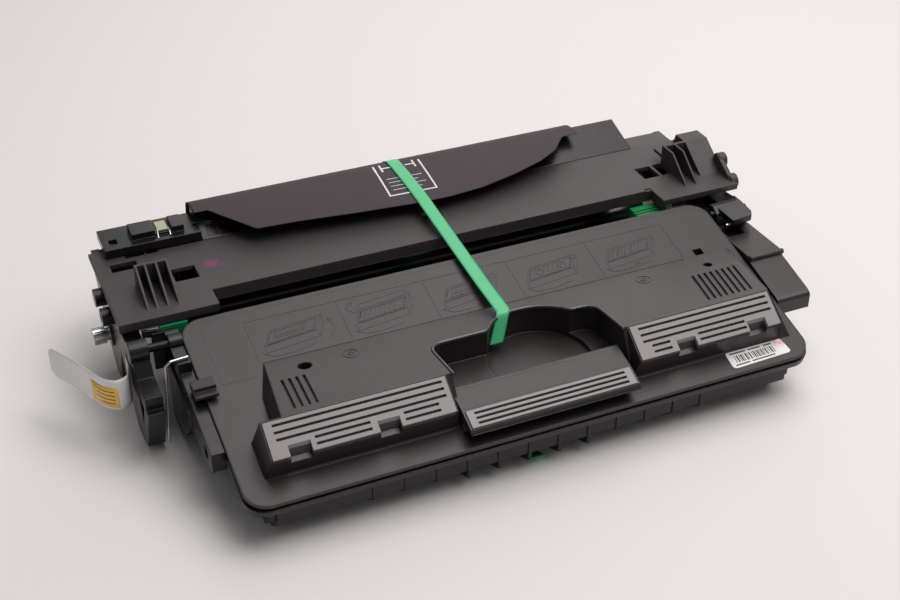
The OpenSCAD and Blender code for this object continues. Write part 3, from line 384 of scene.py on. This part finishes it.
def paper(name, colour, dark, gloss, coat=0.0):
    """Coated packing paper: short fibres at two scales tint it and raise it a little."""
    made, tree, shader, place = new_finish(name)
    stretch = add(tree, "ShaderNodeMapping", {"Vector": place, "Scale": (1.0, 0.35, 0.6)})
    fibre = add(tree, "ShaderNodeTexNoise", {"Vector": stretch.outputs["Vector"], "Scale": 1500.0, "Detail": 4.0, "Roughness": 0.7})
    cloud = add(tree, "ShaderNodeTexNoise", {"Vector": place, "Scale": 38.0, "Detail": 4.0})
    share = add(tree, "ShaderNodeMath", {0: fibre.outputs["Fac"], 1: cloud.outputs["Fac"]}, operation="MULTIPLY")
    tint = add(tree, "ShaderNodeMapRange", {"Value": share.outputs[0], "From Min": 0.12, "From Max": 0.4})
    mixed = add(tree, "ShaderNodeMix", {"Factor": tint.outputs["Result"], "A": (*dark, 1), "B": (*colour, 1)}, data_type="RGBA")
    tree.links.new(mixed.outputs["Result"], shader.inputs["Base Color"])
    rough = add(tree, "ShaderNodeMapRange", {"Value": cloud.outputs["Fac"], "To Min": gloss - 0.08, "To Max": gloss + 0.08})
    tree.links.new(rough.outputs["Result"], shader.inputs["Roughness"])
    relief = add(tree, "ShaderNodeBump", {"Height": fibre.outputs["Fac"], "Distance": 0.00006, "Strength": 0.5})
    tree.links.new(relief.outputs["Normal"], shader.inputs["Normal"])
    shader.inputs["Coat Weight"].default_value = coat
    shader.inputs["Specular IOR Level"].default_value = 0.3
    return made


def film(name, colour, pale, gloss, alpha=1.0, coat=0.3):
    """Plastic tape or strip: slow tints across it and fine stretch lines along it."""
    made, tree, shader, place = new_finish(name)
    stretch = add(tree, "ShaderNodeMapping", {"Vector": place, "Scale": (900.0, 40.0, 40.0)})
    lines = add(tree, "ShaderNodeTexNoise", {"Vector": stretch.outputs["Vector"], "Scale": 1.0, "Detail": 2.0})
    cloud = add(tree, "ShaderNodeTexNoise", {"Vector": place, "Scale": 120.0, "Detail": 3.0})
    mixed = add(tree, "ShaderNodeMix", {"Factor": cloud.outputs["Fac"], "A": (*colour, 1), "B": (*pale, 1)}, data_type="RGBA")
    tree.links.new(mixed.outputs["Result"], shader.inputs["Base Color"])
    rough = add(tree, "ShaderNodeMapRange", {"Value": cloud.outputs["Fac"], "To Min": gloss - 0.05, "To Max": gloss + 0.08})
    tree.links.new(rough.outputs["Result"], shader.inputs["Roughness"])
    relief = add(tree, "ShaderNodeBump", {"Height": lines.outputs["Fac"], "Distance": 0.00005, "Strength": 0.4})
    tree.links.new(relief.outputs["Normal"], shader.inputs["Normal"])
    shader.inputs["Alpha"].default_value = alpha
    shader.inputs["Coat Weight"].default_value = coat
    return made


MAGENTA = (0.17, 0.008, 0.075)
FINISH = {
    "black_body": plastic("black_body", (0.0075, 0.0068, 0.0070), (0.04, 0.037, 0.038), 0.27, rubbing=0.25, edge=0.9, specular=0.42),
    "satin_lid": plastic(
        "satin_lid",
        (0.018, 0.0150, 0.0155),
        (0.06, 0.055, 0.056),
        0.37,
        rubbing=0.22,
        edge=1.1,
    ),
    # Painted sheen: the bar is the lid's plastic with a lighter base colour. The lighter colour stands in for the
    # reflection of the back light, which the sheet over the bar shades off. The magenta blots are real toner smudges.
    "satin_bar_painted_sheen": plastic(
        "satin_bar_painted_sheen",
        (0.034, 0.0290, 0.0300),
        (0.07, 0.064, 0.066),
        0.5,
        rubbing=0.25,
        edge=1.1,
        stains=[((-141, 49.3, 69), 7.5, MAGENTA, 0.95), ((-134.5, 45, 69), 3.2, MAGENTA, 0.5), ((-150, 55, 69), 2.8, MAGENTA, 0.4)],
    ),
    # Painted highlight: the recess rim is the deck's plastic with a lighter base colour. The lighter colour stands in
    # for the bright line that light draws along its rounded edge.
    "rim_painted_highlight": plastic("rim_painted_highlight", (0.030, 0.027, 0.028), (0.07, 0.066, 0.067), 0.22, grain_height=0.2, rubbing=0.2, edge=0.2, specular=0.7),
    # Painted glint: the moulded raised lines are the lid's plastic with a lighter base colour. The lighter colour
    # stands in for the glints that light draws along them.
    "raised_line_painted_glint": plastic("raised_line_painted_glint", (0.040, 0.037, 0.038), (0.09, 0.085, 0.087), 0.33, rubbing=0.3, edge=0.2),
    "grey_pad": plastic("grey_pad", (0.235, 0.218, 0.222), (0.21, 0.195, 0.20), 0.40, rubbing=0.4, edge=0.4),
    "seal_film": film("seal_film", (0.74, 0.73, 0.72), (0.80, 0.79, 0.78), 0.30),
    "sleeve": metal("sleeve", (0.20, 0.20, 0.21), 0.42, (0.1, 1, 1)),
    "white_gear": plastic("white_gear", (0.72, 0.70, 0.64), (0.55, 0.53, 0.48), 0.38, rubbing=0.3, edge=0.12),
    "magnet": plastic("magnet", (0.03, 0.03, 0.032), (0.06, 0.06, 0.06), 0.55),
    "steel": metal("steel", (0.62, 0.62, 0.63), 0.30, (0.12, 1, 1)),
    "blade_rubber": plastic("blade_rubber", (0.10, 0.045, 0.022), (0.14, 0.07, 0.04), 0.5, edge=0.1),
    "clear_film": film("clear_film", (0.55, 0.62, 0.66), (0.62, 0.68, 0.70), 0.18, alpha=0.6),
    "green_guide": plastic("green_guide", (0.012, 0.24, 0.075), (0.05, 0.34, 0.13), 0.32, rubbing=0.2, edge=0.3),
    "drum_coat": plastic("drum_coat", (0.008, 0.03, 0.026), (0.015, 0.05, 0.045), 0.16, grain=300.0, grain_height=0.1, rubbing=0.1, edge=0.1),
    "chrome": metal("chrome", (0.78, 0.78, 0.79), 0.16),
    "dark_steel": metal("dark_steel", (0.035, 0.034, 0.035), 0.35),
    "lit_strip": film("lit_strip", (0.25, 0.29, 0.13), (0.36, 0.40, 0.20), 0.3),
    "roller_rubber": plastic("roller_rubber", (0.02, 0.02, 0.02), (0.04, 0.04, 0.04), 0.55, edge=0.2),
    "packing_paper": paper("packing_paper", (0.046, 0.034, 0.040), (0.030, 0.022, 0.026), 0.60),
    "packing_tape": film("packing_tape", (0.045, 0.42, 0.17), (0.065, 0.50, 0.21), 0.42, alpha=1.0, coat=0.1),
    "label_white": paper("label_white", (0.80, 0.795, 0.79), (0.74, 0.735, 0.73), 0.4, coat=0.2),
    "label_ink": paper("label_ink", (0.006, 0.006, 0.0065), (0.01, 0.01, 0.01), 0.6),
    "label_yellow": film("label_yellow", (0.86, 0.47, 0.05), (0.90, 0.55, 0.08), 0.35),
    "print_white": paper("print_white", (0.78, 0.75, 0.77), (0.60, 0.57, 0.59), 0.5),
    "smudged_label": plastic("smudged_label", (0.80, 0.795, 0.79), (0.7, 0.69, 0.69), 0.4, stains=[((158.5, -120.5, 36), 5.5, (0.80, 0.22, 0.42), 0.8)], edge=0.05, rubbing=0.1),
}

# Finish of each carried-over solid

NODE_FINISH = {
    "black_body": "hopper_frame left_end_cap gear_cover waste_bin bin_cover end_plate_left end_plate_right side_arm_left side_arm_right contact_block",
    "satin_lid": "hopper_lid left_end_clip right_end_cover fill_plug",
    "satin_bar_painted_sheen": "top_bar",
    "grey_pad": "grip_pad_left grip_pad_right handle_grip",
    "seal_film": "seal_film pull_tab",
    "sleeve": "developer_sleeve",
    "white_gear": "developer_gear agitator_shaft agitator_gear idler_gear drum_hub drum_gear",
    "magnet": "magnet_core bushing_left bushing_right saddle_left saddle_right",
    "steel": "blade_bracket blade_screw_left blade_screw_right idler_pin saddle_spring_left saddle_spring_right wiper_bracket contact_wire charge_shaft",
    "blade_rubber": "doctor_blade wiper_blade",
    "clear_film": "agitator_sheet",
    "lit_strip": "contact_strip",
    "dark_steel": "hinge_pin_left hinge_pin_right",
    "green_guide": "edge_guide_left edge_guide_right",
    "drum_coat": "drum_tube",
    "chrome": "drum_pin_left drum_pin_right",
    "roller_rubber": "charge_rubber",
    "packing_paper": "packing_sheet",
    "packing_tape": "packing_tape",
}
for finish, names in NODE_FINISH.items():
    for name in names.split():
        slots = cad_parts[name].data.materials
        for index in range(len(slots)):
            slots[index] = FINISH[finish]

# Packing: paper over the drum, tape and seal strip

SHEET_LINE = np.array(
    [[50, 77.4], [66, 79.3], [82, 80.6], [96, 81.3], [104, 81.2], [110, 78.4], [112.2, 72], [112.65, 50],
     [112, 34], [107, 22], [97, 13], [84, 7.5], [70, 5.2], [52, 4.2]]
)
SHEET_RISE = 0.12
SHEET_THICK = 0.28
# front edge of the sheet as x and y
SHEET_FRONT = np.array(
    [[-139.5, 104.5], [-124, 82], [-107.9, 60.8], [-80.2, 59.2], [-43.1, 55.2], [-4.9, 52.1], [17.9, 51.5],
     [42.4, 53.8], [69.5, 60.3], [91.8, 68.1], [107.5, 76.8], [119, 90], [131.5, 105.5]]
)


def sheet_surface():
    """Grid of the packing sheet: u runs along the drum, v from the front edge over the back and under.
    The height follows the folded line, with shallow waves that grow to the free edge."""
    line = spline(SHEET_LINE, 900)
    run = np.concatenate([[0], np.cumsum(np.linalg.norm(np.diff(line, axis=0), axis=1))])
    back = np.argmax(line[:, 1] > 81.15)
    x = np.linspace(SHEET_FRONT[0, 0], SHEET_FRONT[-1, 0], 150)
    front_y = np.interp(x, SHEET_FRONT[:, 0], SHEET_FRONT[:, 1])
    start = np.interp(front_y, line[:back, 0], run[:back])
    v = np.linspace(0, 1, 120)
    s = start[:, None] + (run[-1] - start[:, None]) * v[None]
    y = np.interp(s, run, line[:, 0])
    z = np.interp(s, run, line[:, 1])
    ty = np.gradient(y, axis=1)
    tz = np.gradient(z, axis=1)
    size = np.hypot(ty, tz)
    free = np.clip(1 - s / 52, 0, 1)
    wave = 0.30 * np.sin(x / 31 + 0.6)[:, None] * free + 0.16 * np.sin(x[:, None] / 11 + s / 9) * np.clip(s / 30, 0, 1)
    lift = SHEET_RISE + 0.14 + 0.10 * wave
    return np.stack([np.broadcast_to(x[:, None], y.shape), y - lift * tz / size, z + lift * ty / size], axis=-1)


sheet_grid = sheet_surface()
rows, columns = sheet_grid.shape[:2]
packing_sheet = piece("wrap_sheet", sheet_grid, grid_faces(rows, columns).tolist(), "packing_paper")
wall = packing_sheet.modifiers.new("wall", "SOLIDIFY")
wall.thickness = SHEET_THICK * MM
wall.offset = 0
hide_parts("packing_sheet")


def on_sheet(x, y, high):
    """Points over the top of the sheet."""
    line = spline(SHEET_LINE[:6], 300)
    y = np.asarray(y, float)
    z = np.interp(y, line[:, 0], line[:, 1])
    x, y, z, high = np.broadcast_arrays(x, y, z, high)
    return np.stack([x, y, z + 0.42 + high], axis=-1)


def skewed(corners, u, v):
    """Points of a four-cornered patch from its shares u and v."""
    a, b, c, d = [np.array(corner, float) for corner in corners]
    u, v = np.asarray(u, float)[..., None], np.asarray(v, float)[..., None]
    return (a * (1 - u) + b * u) * (1 - v) + (d * (1 - u) + c * u) * v


# printed frame on the sheet, with two bar-and-stem marks and plain lines
PRINT = [(-17.5, 63.2), (14.4, 62.2), (16.7, 109.6), (-14.9, 111.4)]


def printed(points):
    """A line of the print, given as shares of its frame."""
    points = np.asarray(points, float)
    dense = np.vstack([np.linspace(points[i], points[i + 1], 7)[:-1] for i in range(len(points) - 1)] + [points[-1:]])
    return skewed(PRINT, dense[:, 0], dense[:, 1])


PRINT_LINES = [
    printed([(0, 0.03), (1, 0.03), (1, 0.94), (0, 0.94), (0, 0.03)]),
    printed([(0.14, 0.62), (0.14, 0.80)]),
    printed([(0.14, 0.71), (0.34, 0.71)]),
    printed([(0.86, 0.62), (0.86, 0.80)]),
    printed([(0.66, 0.71), (0.86, 0.71)]),
]
strokes("sheet_print", PRINT_LINES, on_sheet, 1.4, 0.06, "print_white", sunk=0.05)
strokes(
    "sheet_print_fine",
    [printed([(0.12, v), (0.88 - 0.12 * (k % 2), v)]) for k, v in enumerate((0.42, 0.33, 0.24, 0.15))],
    on_sheet,
    0.6,
    0.05,
    "print_white",
    sunk=0.05,
)

TAPE_FRONT = [[-64, 43], [-61.8, 47.2], [-59.3, 52.4], [-57.2, 57.2], [-55.5, 58.75], [-30, 62.6], [0, 68.55], [50, 78.35]]
TAPE_OVER = [[66, 80.35], [82, 81.65], [96, 82.35], [104.4, 82.25], [110.8, 79.15], [113.6, 72.2], [113.9, 52]]
TAPE_UNDER = [[113.15, 33.8], [107.85, 21.4], [97.5, 12.1], [84.2, 6.55], [70, 4.25], [52, 3.15], [30, 1.45], [18, 0.55],
              [-50, 0.4], [-115.5, 0.4], [-118.4, 1.95], [-126.4, 6.1]]


def eased(points, step, reach):
    """A line cut to even steps, with its corners rounded by averaging over reach steps each way."""
    p = np.asarray(points, float)
    t = np.concatenate([[0], np.cumsum(np.linalg.norm(np.diff(p, axis=0), axis=1))])
    s = np.linspace(0, t[-1], int(t[-1] / step))
    line = np.stack([np.interp(s, t, p[:, k]) for k in range(p.shape[1])], axis=1)
    padded = np.vstack([np.repeat(line[:1], reach, 0), line, np.repeat(line[-1:], reach, 0)])
    weight = np.ones(2 * reach + 1) / (2 * reach + 1)
    smooth = np.stack([np.convolve(padded[:, k], weight, "valid") for k in range(p.shape[1])], axis=1)
    ends = np.clip(np.minimum(np.arange(len(s)), np.arange(len(s))[::-1]) / reach, 0, 1)[:, None]
    return smooth * ends + line * (1 - ends)


def tape_x(part, y):
    """Middle of the tape along the drum over y, for its top, back and lower stretch."""
    y = np.asarray(y, float)
    return [0.45 - 0.05 * (y - 53) - 1.05 * np.clip(-55.5 - y, 0, None), 0.45 - 0.023 * (y - 53), -0.95 + 0.014 * (y - 113.8)][part]


def tape_surface():
    """Grid of the tape: u along it and v across its width, crowned by 0.02 mm in the middle."""
    parts = [TAPE_FRONT, TAPE_OVER, TAPE_UNDER]
    line = np.vstack([np.column_stack([tape_x(k, np.array(part)[:, 0]), part]) for k, part in enumerate(parts)])
    line = eased(line, 0.9, 2)
    run = unit(np.gradient(line[:, 1:], axis=0))
    out = np.column_stack([np.zeros(len(line)), -run[:, 1], run[:, 0]])
    v = np.linspace(-1, 1, 7)
    width = np.array([4.3, 0, 0])
    crown = 0.17 + 0.02 * (1 - v**2)
    return line[:, None] + width * v[None, :, None] + out[:, None] * crown[None, :, None]


tape_grid = tape_surface()
packing_tape = piece("tape_band", tape_grid, grid_faces(*tape_grid.shape[:2]).tolist(), "packing_tape")
wall = packing_tape.modifiers.new("wall", "SOLIDIFY")
wall.thickness = 0.12 * MM
wall.offset = 0
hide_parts("packing_tape")

TAB_LINE = [[-206.3, 5.4], [-206.9, -6], [-209.5, -13.5], [-215, -16], [-221, -12.5], [-227, -2], [-234, 14], [-245, 33]]


def tab_surface(first, last, low, high, out, count):
    """Grid of the pull strip between two shares of its length: u along it, v up its width, bowed a
    little, with its free corners cut round."""
    line = spline(TAB_LINE, 400)
    run = unit(np.gradient(line, axis=0))
    side = np.column_stack([-run[:, 1], run[:, 0]])
    u = np.linspace(first, last, count)
    at = u * (len(line) - 1)
    x = np.interp(at, np.arange(len(line)), line[:, 0] + out * side[:, 0])
    y = np.interp(at, np.arange(len(line)), line[:, 1] + out * side[:, 1])
    end = np.clip((u - 0.93) / 0.07, 0, 1)
    inset = 4.5 * (1 - np.sqrt(1 - end**2))
    v = np.linspace(0, 1, 9)
    z = low + inset[:, None] + (high - low - 2 * inset[:, None]) * v
    return np.stack([np.broadcast_to(x[:, None], z.shape), np.broadcast_to(y[:, None], z.shape), z], axis=-1)


tab_grid = tab_surface(0.0, 1.0, 27.2, 47.8, 0.25, 90)
pull_strip = piece("pull_strip", tab_grid, grid_faces(*tab_grid.shape[:2]).tolist(), "seal_film")
wall = pull_strip.modifiers.new("wall", "SOLIDIFY")
wall.thickness = 0.2 * MM
wall.offset = 0
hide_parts("pull_tab")


def strip_place(u, v, high):
    """Points on the outer face of the pull strip, from u in shares of its length and v up its width."""
    line = spline(TAB_LINE, 400)
    run = unit(np.gradient(line, axis=0))
    side = np.column_stack([-run[:, 1], run[:, 0]])
    u, v, high = np.broadcast_arrays(u, v, high)
    at = u * (len(line) - 1)
    k = np.arange(len(line))
    out = 0.25 + 0.12 + high
    x = np.interp(at, k, line[:, 0]) + out * np.interp(at, k, side[:, 0])
    y = np.interp(at, k, line[:, 1]) + out * np.interp(at, k, side[:, 1])
    return np.stack([x, y, v], axis=-1)


# yellow label on the pull strip, with plain bars
label_u = np.linspace(0.31, 0.54, 26)
label_outline = np.vstack([np.column_stack([label_u, np.full(26, 29.0)]), np.column_stack([label_u[::-1], np.full(26, 41.5)])])
label_outline = np.vstack([label_outline, label_outline[:1]])
flat_u, flat_v = np.meshgrid(label_u, np.linspace(28.6, 42.4, 5), indexing="ij")
strip_label = piece("strip_label", strip_place(flat_u, flat_v, 0.06), grid_faces(26, 5).tolist(), "label_yellow")
wall = strip_label.modifiers.new("wall", "SOLIDIFY")
wall.thickness = 0.08 * MM
bar_u = np.linspace(0.335, 0.515, 20)
for row, reach in enumerate((1.0, 0.86, 0.94, 0.6)):
    cut = bar_u[: max(3, int(20 * reach))]
    strokes("strip_label_bar_%d" % row, [np.column_stack([cut, np.full(len(cut), 39.4 - 2.7 * row)])], strip_place, 0.9, 0.16, "label_ink", sunk=0.02)

# Label on the corner of the flange, with generic bars

LABEL = [(121, -129.4), (162, -128.3), (160.5, -117.3), (121.5, -117)]


def on_label(u, v, high):
    """Points over the label from shares of its length and width."""
    flat = skewed(LABEL, u, v)
    return on_lid(flat[..., 0], flat[..., 1], high)


outline = rounded(0, 40, 0, 12.2, 2.4)
outline = skewed(LABEL, outline[:, 0] / 40, outline[:, 1] / 12.2)
plate("corner_label", outline, on_lid, 0.0, 0.16, "smudged_label", 0.08)
rng = np.random.default_rng(7)
edges = 0.07 + np.cumsum(rng.uniform(0.026, 0.046, 40))
edges = edges[edges < 0.82]
for half_set, thick in enumerate((0.013, 0.025)):
    bars = [[(e, 0.27), (e, 0.68)] for e in edges[half_set::2]]
    strokes("corner_label_bars_%d" % (half_set + 1), bars, on_label, thick, 0.2, "label_ink", sunk=-0.15)
plain = [[(0.06, 0.83), (0.34, 0.83)], [(0.38, 0.83), (0.60, 0.83)], [(0.66, 0.83), (0.80, 0.83)], [(0.06, 0.15), (0.30, 0.15)], [(0.34, 0.15), (0.74, 0.15)]]
strokes("corner_label_lines", plain, on_label, 0.075, 0.2, "label_ink", sunk=-0.15)

# Raised lines of the lid's instruction field: five panels with generic drawings, drawn lighter than the lid as painted
# glints

PANELS = [-138.9, -83.0, -27.6, 27.9, 82.8, 138.3]
PANEL_Y = (-42.0, -10.6)
field = [rounded(PANELS[0], PANELS[-1], PANEL_Y[0], PANEL_Y[1], 1.2)]
field += [[(x, PANEL_Y[0] + 0.3), (x, PANEL_Y[1] - 0.3)] for x in PANELS[1:-1]]
strokes("panel_frames", field, on_lid, 0.6, 0.2, "raised_line_painted_glint")
strokes("lid_outline", [[(-163.5, -8), (-163.5, -50), (-146, -50.4)]], on_lid, 0.5, 0.14, "raised_line_painted_glint")


def slanted_box(x, y, long, deep, high, lean=0.55):
    """Lines of a box drawn at a slant: its top, its front and the edges between them."""
    shift = np.array([deep * lean, deep])
    a, b = np.array([x, y]), np.array([x + long, y + long * 0.10])
    drop = np.array([0, -high])
    return [
        np.array([a, b, b + shift, a + shift, a]),
        np.array([a, a + drop, b + drop, b]),
        np.array([b + drop, b + drop + shift, b + shift]),
    ]


def arrow(points, size):
    """Lines of a bent arrow: a smooth shaft through the points and a head at the last one."""
    shaft = spline(points, 14)
    way = unit(shaft[-1] - shaft[-2])
    left = np.array([-way[1], way[0]])
    head = np.array([shaft[-1] - size * way + 0.6 * size * left, shaft[-1], shaft[-1] - size * way - 0.6 * size * left])
    return [shaft, head]


def drawing(k, x):
    """Generic line drawing number k, in the panel whose left edge is at x."""
    y = -31.0
    lines = slanted_box(x + 6, y, 33, 10, 5)
    lines += slanted_box(x + 8, y + 1.4, 29, 7.4, 1.2)
    lines += [np.array([(x + 9 + 3.2 * i, y + 3.2 + 0.32 * i), (x + 12 + 3.2 * i, y + 8.2 + 0.32 * i)]) for i in range(8)]
    lines += [np.array([(x + 3.5, y - 4.5), (x + 9, y - 8.5), (x + 20, y - 8.8), (x + 34, y - 6.5)])]
    if k == 0:
        lines += slanted_box(x + 14, y + 5.5, 17, 3.5, 1.4)
        lines += arrow([(x + 44, y - 5), (x + 49, y + 2), (x + 47, y + 10)], 3)
    elif k == 1:
        lines += slanted_box(x + 10, y + 10, 31, 4, 2)
        lines += arrow([(x + 8, y + 8), (x + 4, y + 13), (x + 9, y + 17)], 2.6)
    elif k == 2:
        lines += [np.array([(x + 12, y + 2.5), (x + 34, y + 4.8)]), np.array([(x + 14, y + 5), (x + 36, y + 7.2)])]
        lines += arrow([(x + 30, y + 17), (x + 28, y + 12), (x + 27, y + 8)], 3)
    elif k == 3:
        lines += [circle(x + 17, y + 5.5, 2.4, 18), circle(x + 33, y + 7.2, 2.4, 18)]
        lines += arrow([(x + 48, y + 15), (x + 44, y + 12), (x + 40, y + 10)], 3)
    else:
        lines += [np.array([(x + 10 + 5 * i, y + 1.5 + 0.5 * i), (x + 14 + 5 * i, y + 8.3 + 0.5 * i)]) for i in range(5)]
        lines += arrow([(x + 5, y - 7), (x + 16, y - 8), (x + 27, y - 6)], 2.8)
    return lines


for k, x in enumerate(PANELS[:-1]):
    strokes("panel_drawing_%d" % (k + 1), drawing(k, x), on_lid, 0.5, 0.2, "raised_line_painted_glint")

# Mould rings, marks at the ends of the pads, and the rolled rim of the hand recess. The rings and the rim are drawn
# lighter than the plastic round them, as painted highlights.

rings = [circle(-89.8, -55.2, 4.6, 40), circle(-89.8, -55.2, 1.7, 20), circle(100.9, -55, 4.6, 40), circle(100.9, -55, 1.7, 20)]
strokes("deck_rings", rings, on_deck, 0.8, 0.3, "raised_line_painted_glint")
strokes("bar_rings", [circle(-5.1, 28.7, 1.9, 24), circle(7.3, 29.9, 1.9, 24)], on_bar, 0.6, 0.25, "raised_line_painted_glint")
pad_marks = [[(x + 1.9 * i, run), (x + 1.9 * i, run + 5.2)] for x, run in ((-155.6, 15.2), (-57.2, 15.2), (65.3, 15.2), (150.6, 15.2)) for i in range(3)]
strokes("pad_marks", pad_marks, on_pad, 0.7, 0.2, "black_body")
rim = [np.array([(-48.0, -104.0), (-48.0, -77.0)]), circle(-39, -77, 9, 10, 180, -90), circle(16.5, -83.5, 31, 34, 150, -120),
       circle(50, -77, 9, 10, 90, -90), np.array([(59.0, -77.0), (59.0, -104.0)])]
rim_flat = eased(np.vstack(rim), 1.0, 2)
rim_path = on_deck(rim_flat[:, 0], rim_flat[:, 1], -0.35)
half_round = np.array([[np.cos(a) * 1.15, np.sin(a) * 1.15] for a in np.linspace(0, 2 * np.pi, 12, endpoint=False)])
swept("recess_rim", rim_path, half_round, (0, 0, 1), "rim_painted_highlight")

# A thin light line just inside the lid's outline: a painted highlight that stands in for the glint along the lid's
# edge.
strokes("lid_edge_painted_highlight", [rounded(-174.2, 174.2, -132.3, -2.8, 12.4)], on_lid, 0.45, 0.12, "raised_line_painted_glint")

# Seam lines across the handle's plate. Their lighter colour is a painted highlight along them.
handle_rise = 12.21
strokes("handle_seam", [[(-47.5, -101.9), (54.2, -101.9)], [(-47.5, -115.4), (54.2, -115.4)]], lambda x, y, high: on_lid(x, y, handle_rise + high), 0.5, 0.14, "raised_line_painted_glint")

# Skin between the ribs in front, bracket under the bar's left end, and small bright ends of wires

skin = [(-128.3, 23.5), (-128.3, 12.5), (-114.8, 0.9), (-108, 0.9), (-108, 4.2), (-115, 4.2), (-126, 14), (-126, 23.5)]
swept("front_skin", [[-159.5, 0, 0], [0, 0, 0], [159.5, 0, 0]], np.array(skin) * [-1, 1], (0, -1, 0), "black_body", smooth=False)
bracket = [(-195, 63.5), (-184.5, 62), (-183.5, 57.5), (-174, 57.5), (-174, 47), (-181, 47), (-183, 53), (-188, 52), (-190, 58), (-195, 59)]
swept("end_bracket", [[0, 2.2, 0], [0, 3, 0], [0, 3.8, 0]], bracket, (1, 0, 0), "black_body", smooth=False)


def rod(name, line, radius, finish):
    """A round rod along a smooth line."""
    angle = np.linspace(0, 2 * np.pi, 12, endpoint=False)
    ring = radius * np.column_stack([np.cos(angle), np.sin(angle)])
    side = (0, 0, 1) if abs(line[-1][2] - line[0][2]) < abs(line[-1][0] - line[0][0]) else (1, 0, 0)
    return swept(name, spline(line, 14), ring, side, finish)


rod("strip_leg_left", [(-163.6, 88, 76.9), (-164.0, 84, 76.6), (-164.6, 80, 75)], 0.5, "chrome")
rod("strip_leg_right", [(-156.6, 88, 76.9), (-156.6, 84, 76.7), (-156.8, 81, 75)], 0.5, "chrome")
rod("wire_end_a", [(180.5, -23.6, 58.6), (183, -23.8, 58.8), (186, -23.4, 58.4)], 0.8, "chrome")
rod("wire_end_b", [(196.6, -18.0, 55.2), (198.2, -19.0, 55.6), (199.2, -18.0, 53.6)], 0.7, "chrome")

# Floor, camera and light

camera = bpy.data.objects.new("camera", bpy.data.cameras.new("camera"))
bpy.context.scene.collection.objects.link(camera)
camera.location = (-0.2955, -0.6637, 0.5189)
camera.rotation_euler = (np.radians(90 - 33.7), 0, np.radians(-23.7))
camera.data.lens = 55.74
camera.data.sensor_width = 36
camera.data.clip_start = 0.01
bpy.context.scene.camera = camera

floor_mesh = bpy.data.meshes.new("floor")
half = 6.0
floor_mesh.from_pydata([(-half, -half, 0), (half, -half, 0), (half, half, 0), (-half, half, 0)], [], [[0, 1, 2, 3]])
floor_paint = bpy.data.materials.new("floor")
floor_paint.use_nodes = True
floor_paint.node_tree.nodes["Principled BSDF"].inputs["Base Color"].default_value = (0.715, 0.70, 0.692, 1)
floor_paint.node_tree.nodes["Principled BSDF"].inputs["Roughness"].default_value = 0.75
floor_paint.node_tree.nodes["Principled BSDF"].inputs["Specular IOR Level"].default_value = 0.2
floor_mesh.materials.append(floor_paint)
floor = bpy.data.objects.new("floor", floor_mesh)
bpy.context.scene.collection.objects.link(floor)

world = bpy.data.worlds.new("studio")
bpy.context.scene.world = world
world.use_nodes = True
world.node_tree.nodes["Background"].inputs["Color"].default_value = (0.96, 0.95, 0.96, 1)
world.node_tree.nodes["Background"].inputs["Strength"].default_value = 0.24


def lamp(name, place, target, size, power):
    """A square soft light at a place, turned to face its target."""
    data = bpy.data.lights.new(name, "AREA")
    data.shape = "SQUARE"
    data.size = size
    data.energy = power
    data.color = (1, 0.96, 0.958)
    made = bpy.data.objects.new(name, data)
    bpy.context.scene.collection.objects.link(made)
    made.location = place
    way = np.array(target, float) - np.array(place, float)
    made.rotation_euler = (np.arctan2(np.hypot(way[0], way[1]), -way[2]), 0, np.arctan2(way[1], way[0]) - np.pi / 2)
    return made


lamp("key", (0.45, 0.25, 1.7), (0, 0, 0.04), 1.6, 21)
lamp("front", (0.6, -0.5, 1.55), (0, 0, 0.04), 1.1, 13)
lamp("rear", (0.8, 1.7, 0.95), (0, 0, 0.04), 1.5, 9)

bpy.context.scene.view_settings.view_transform = "Standard"
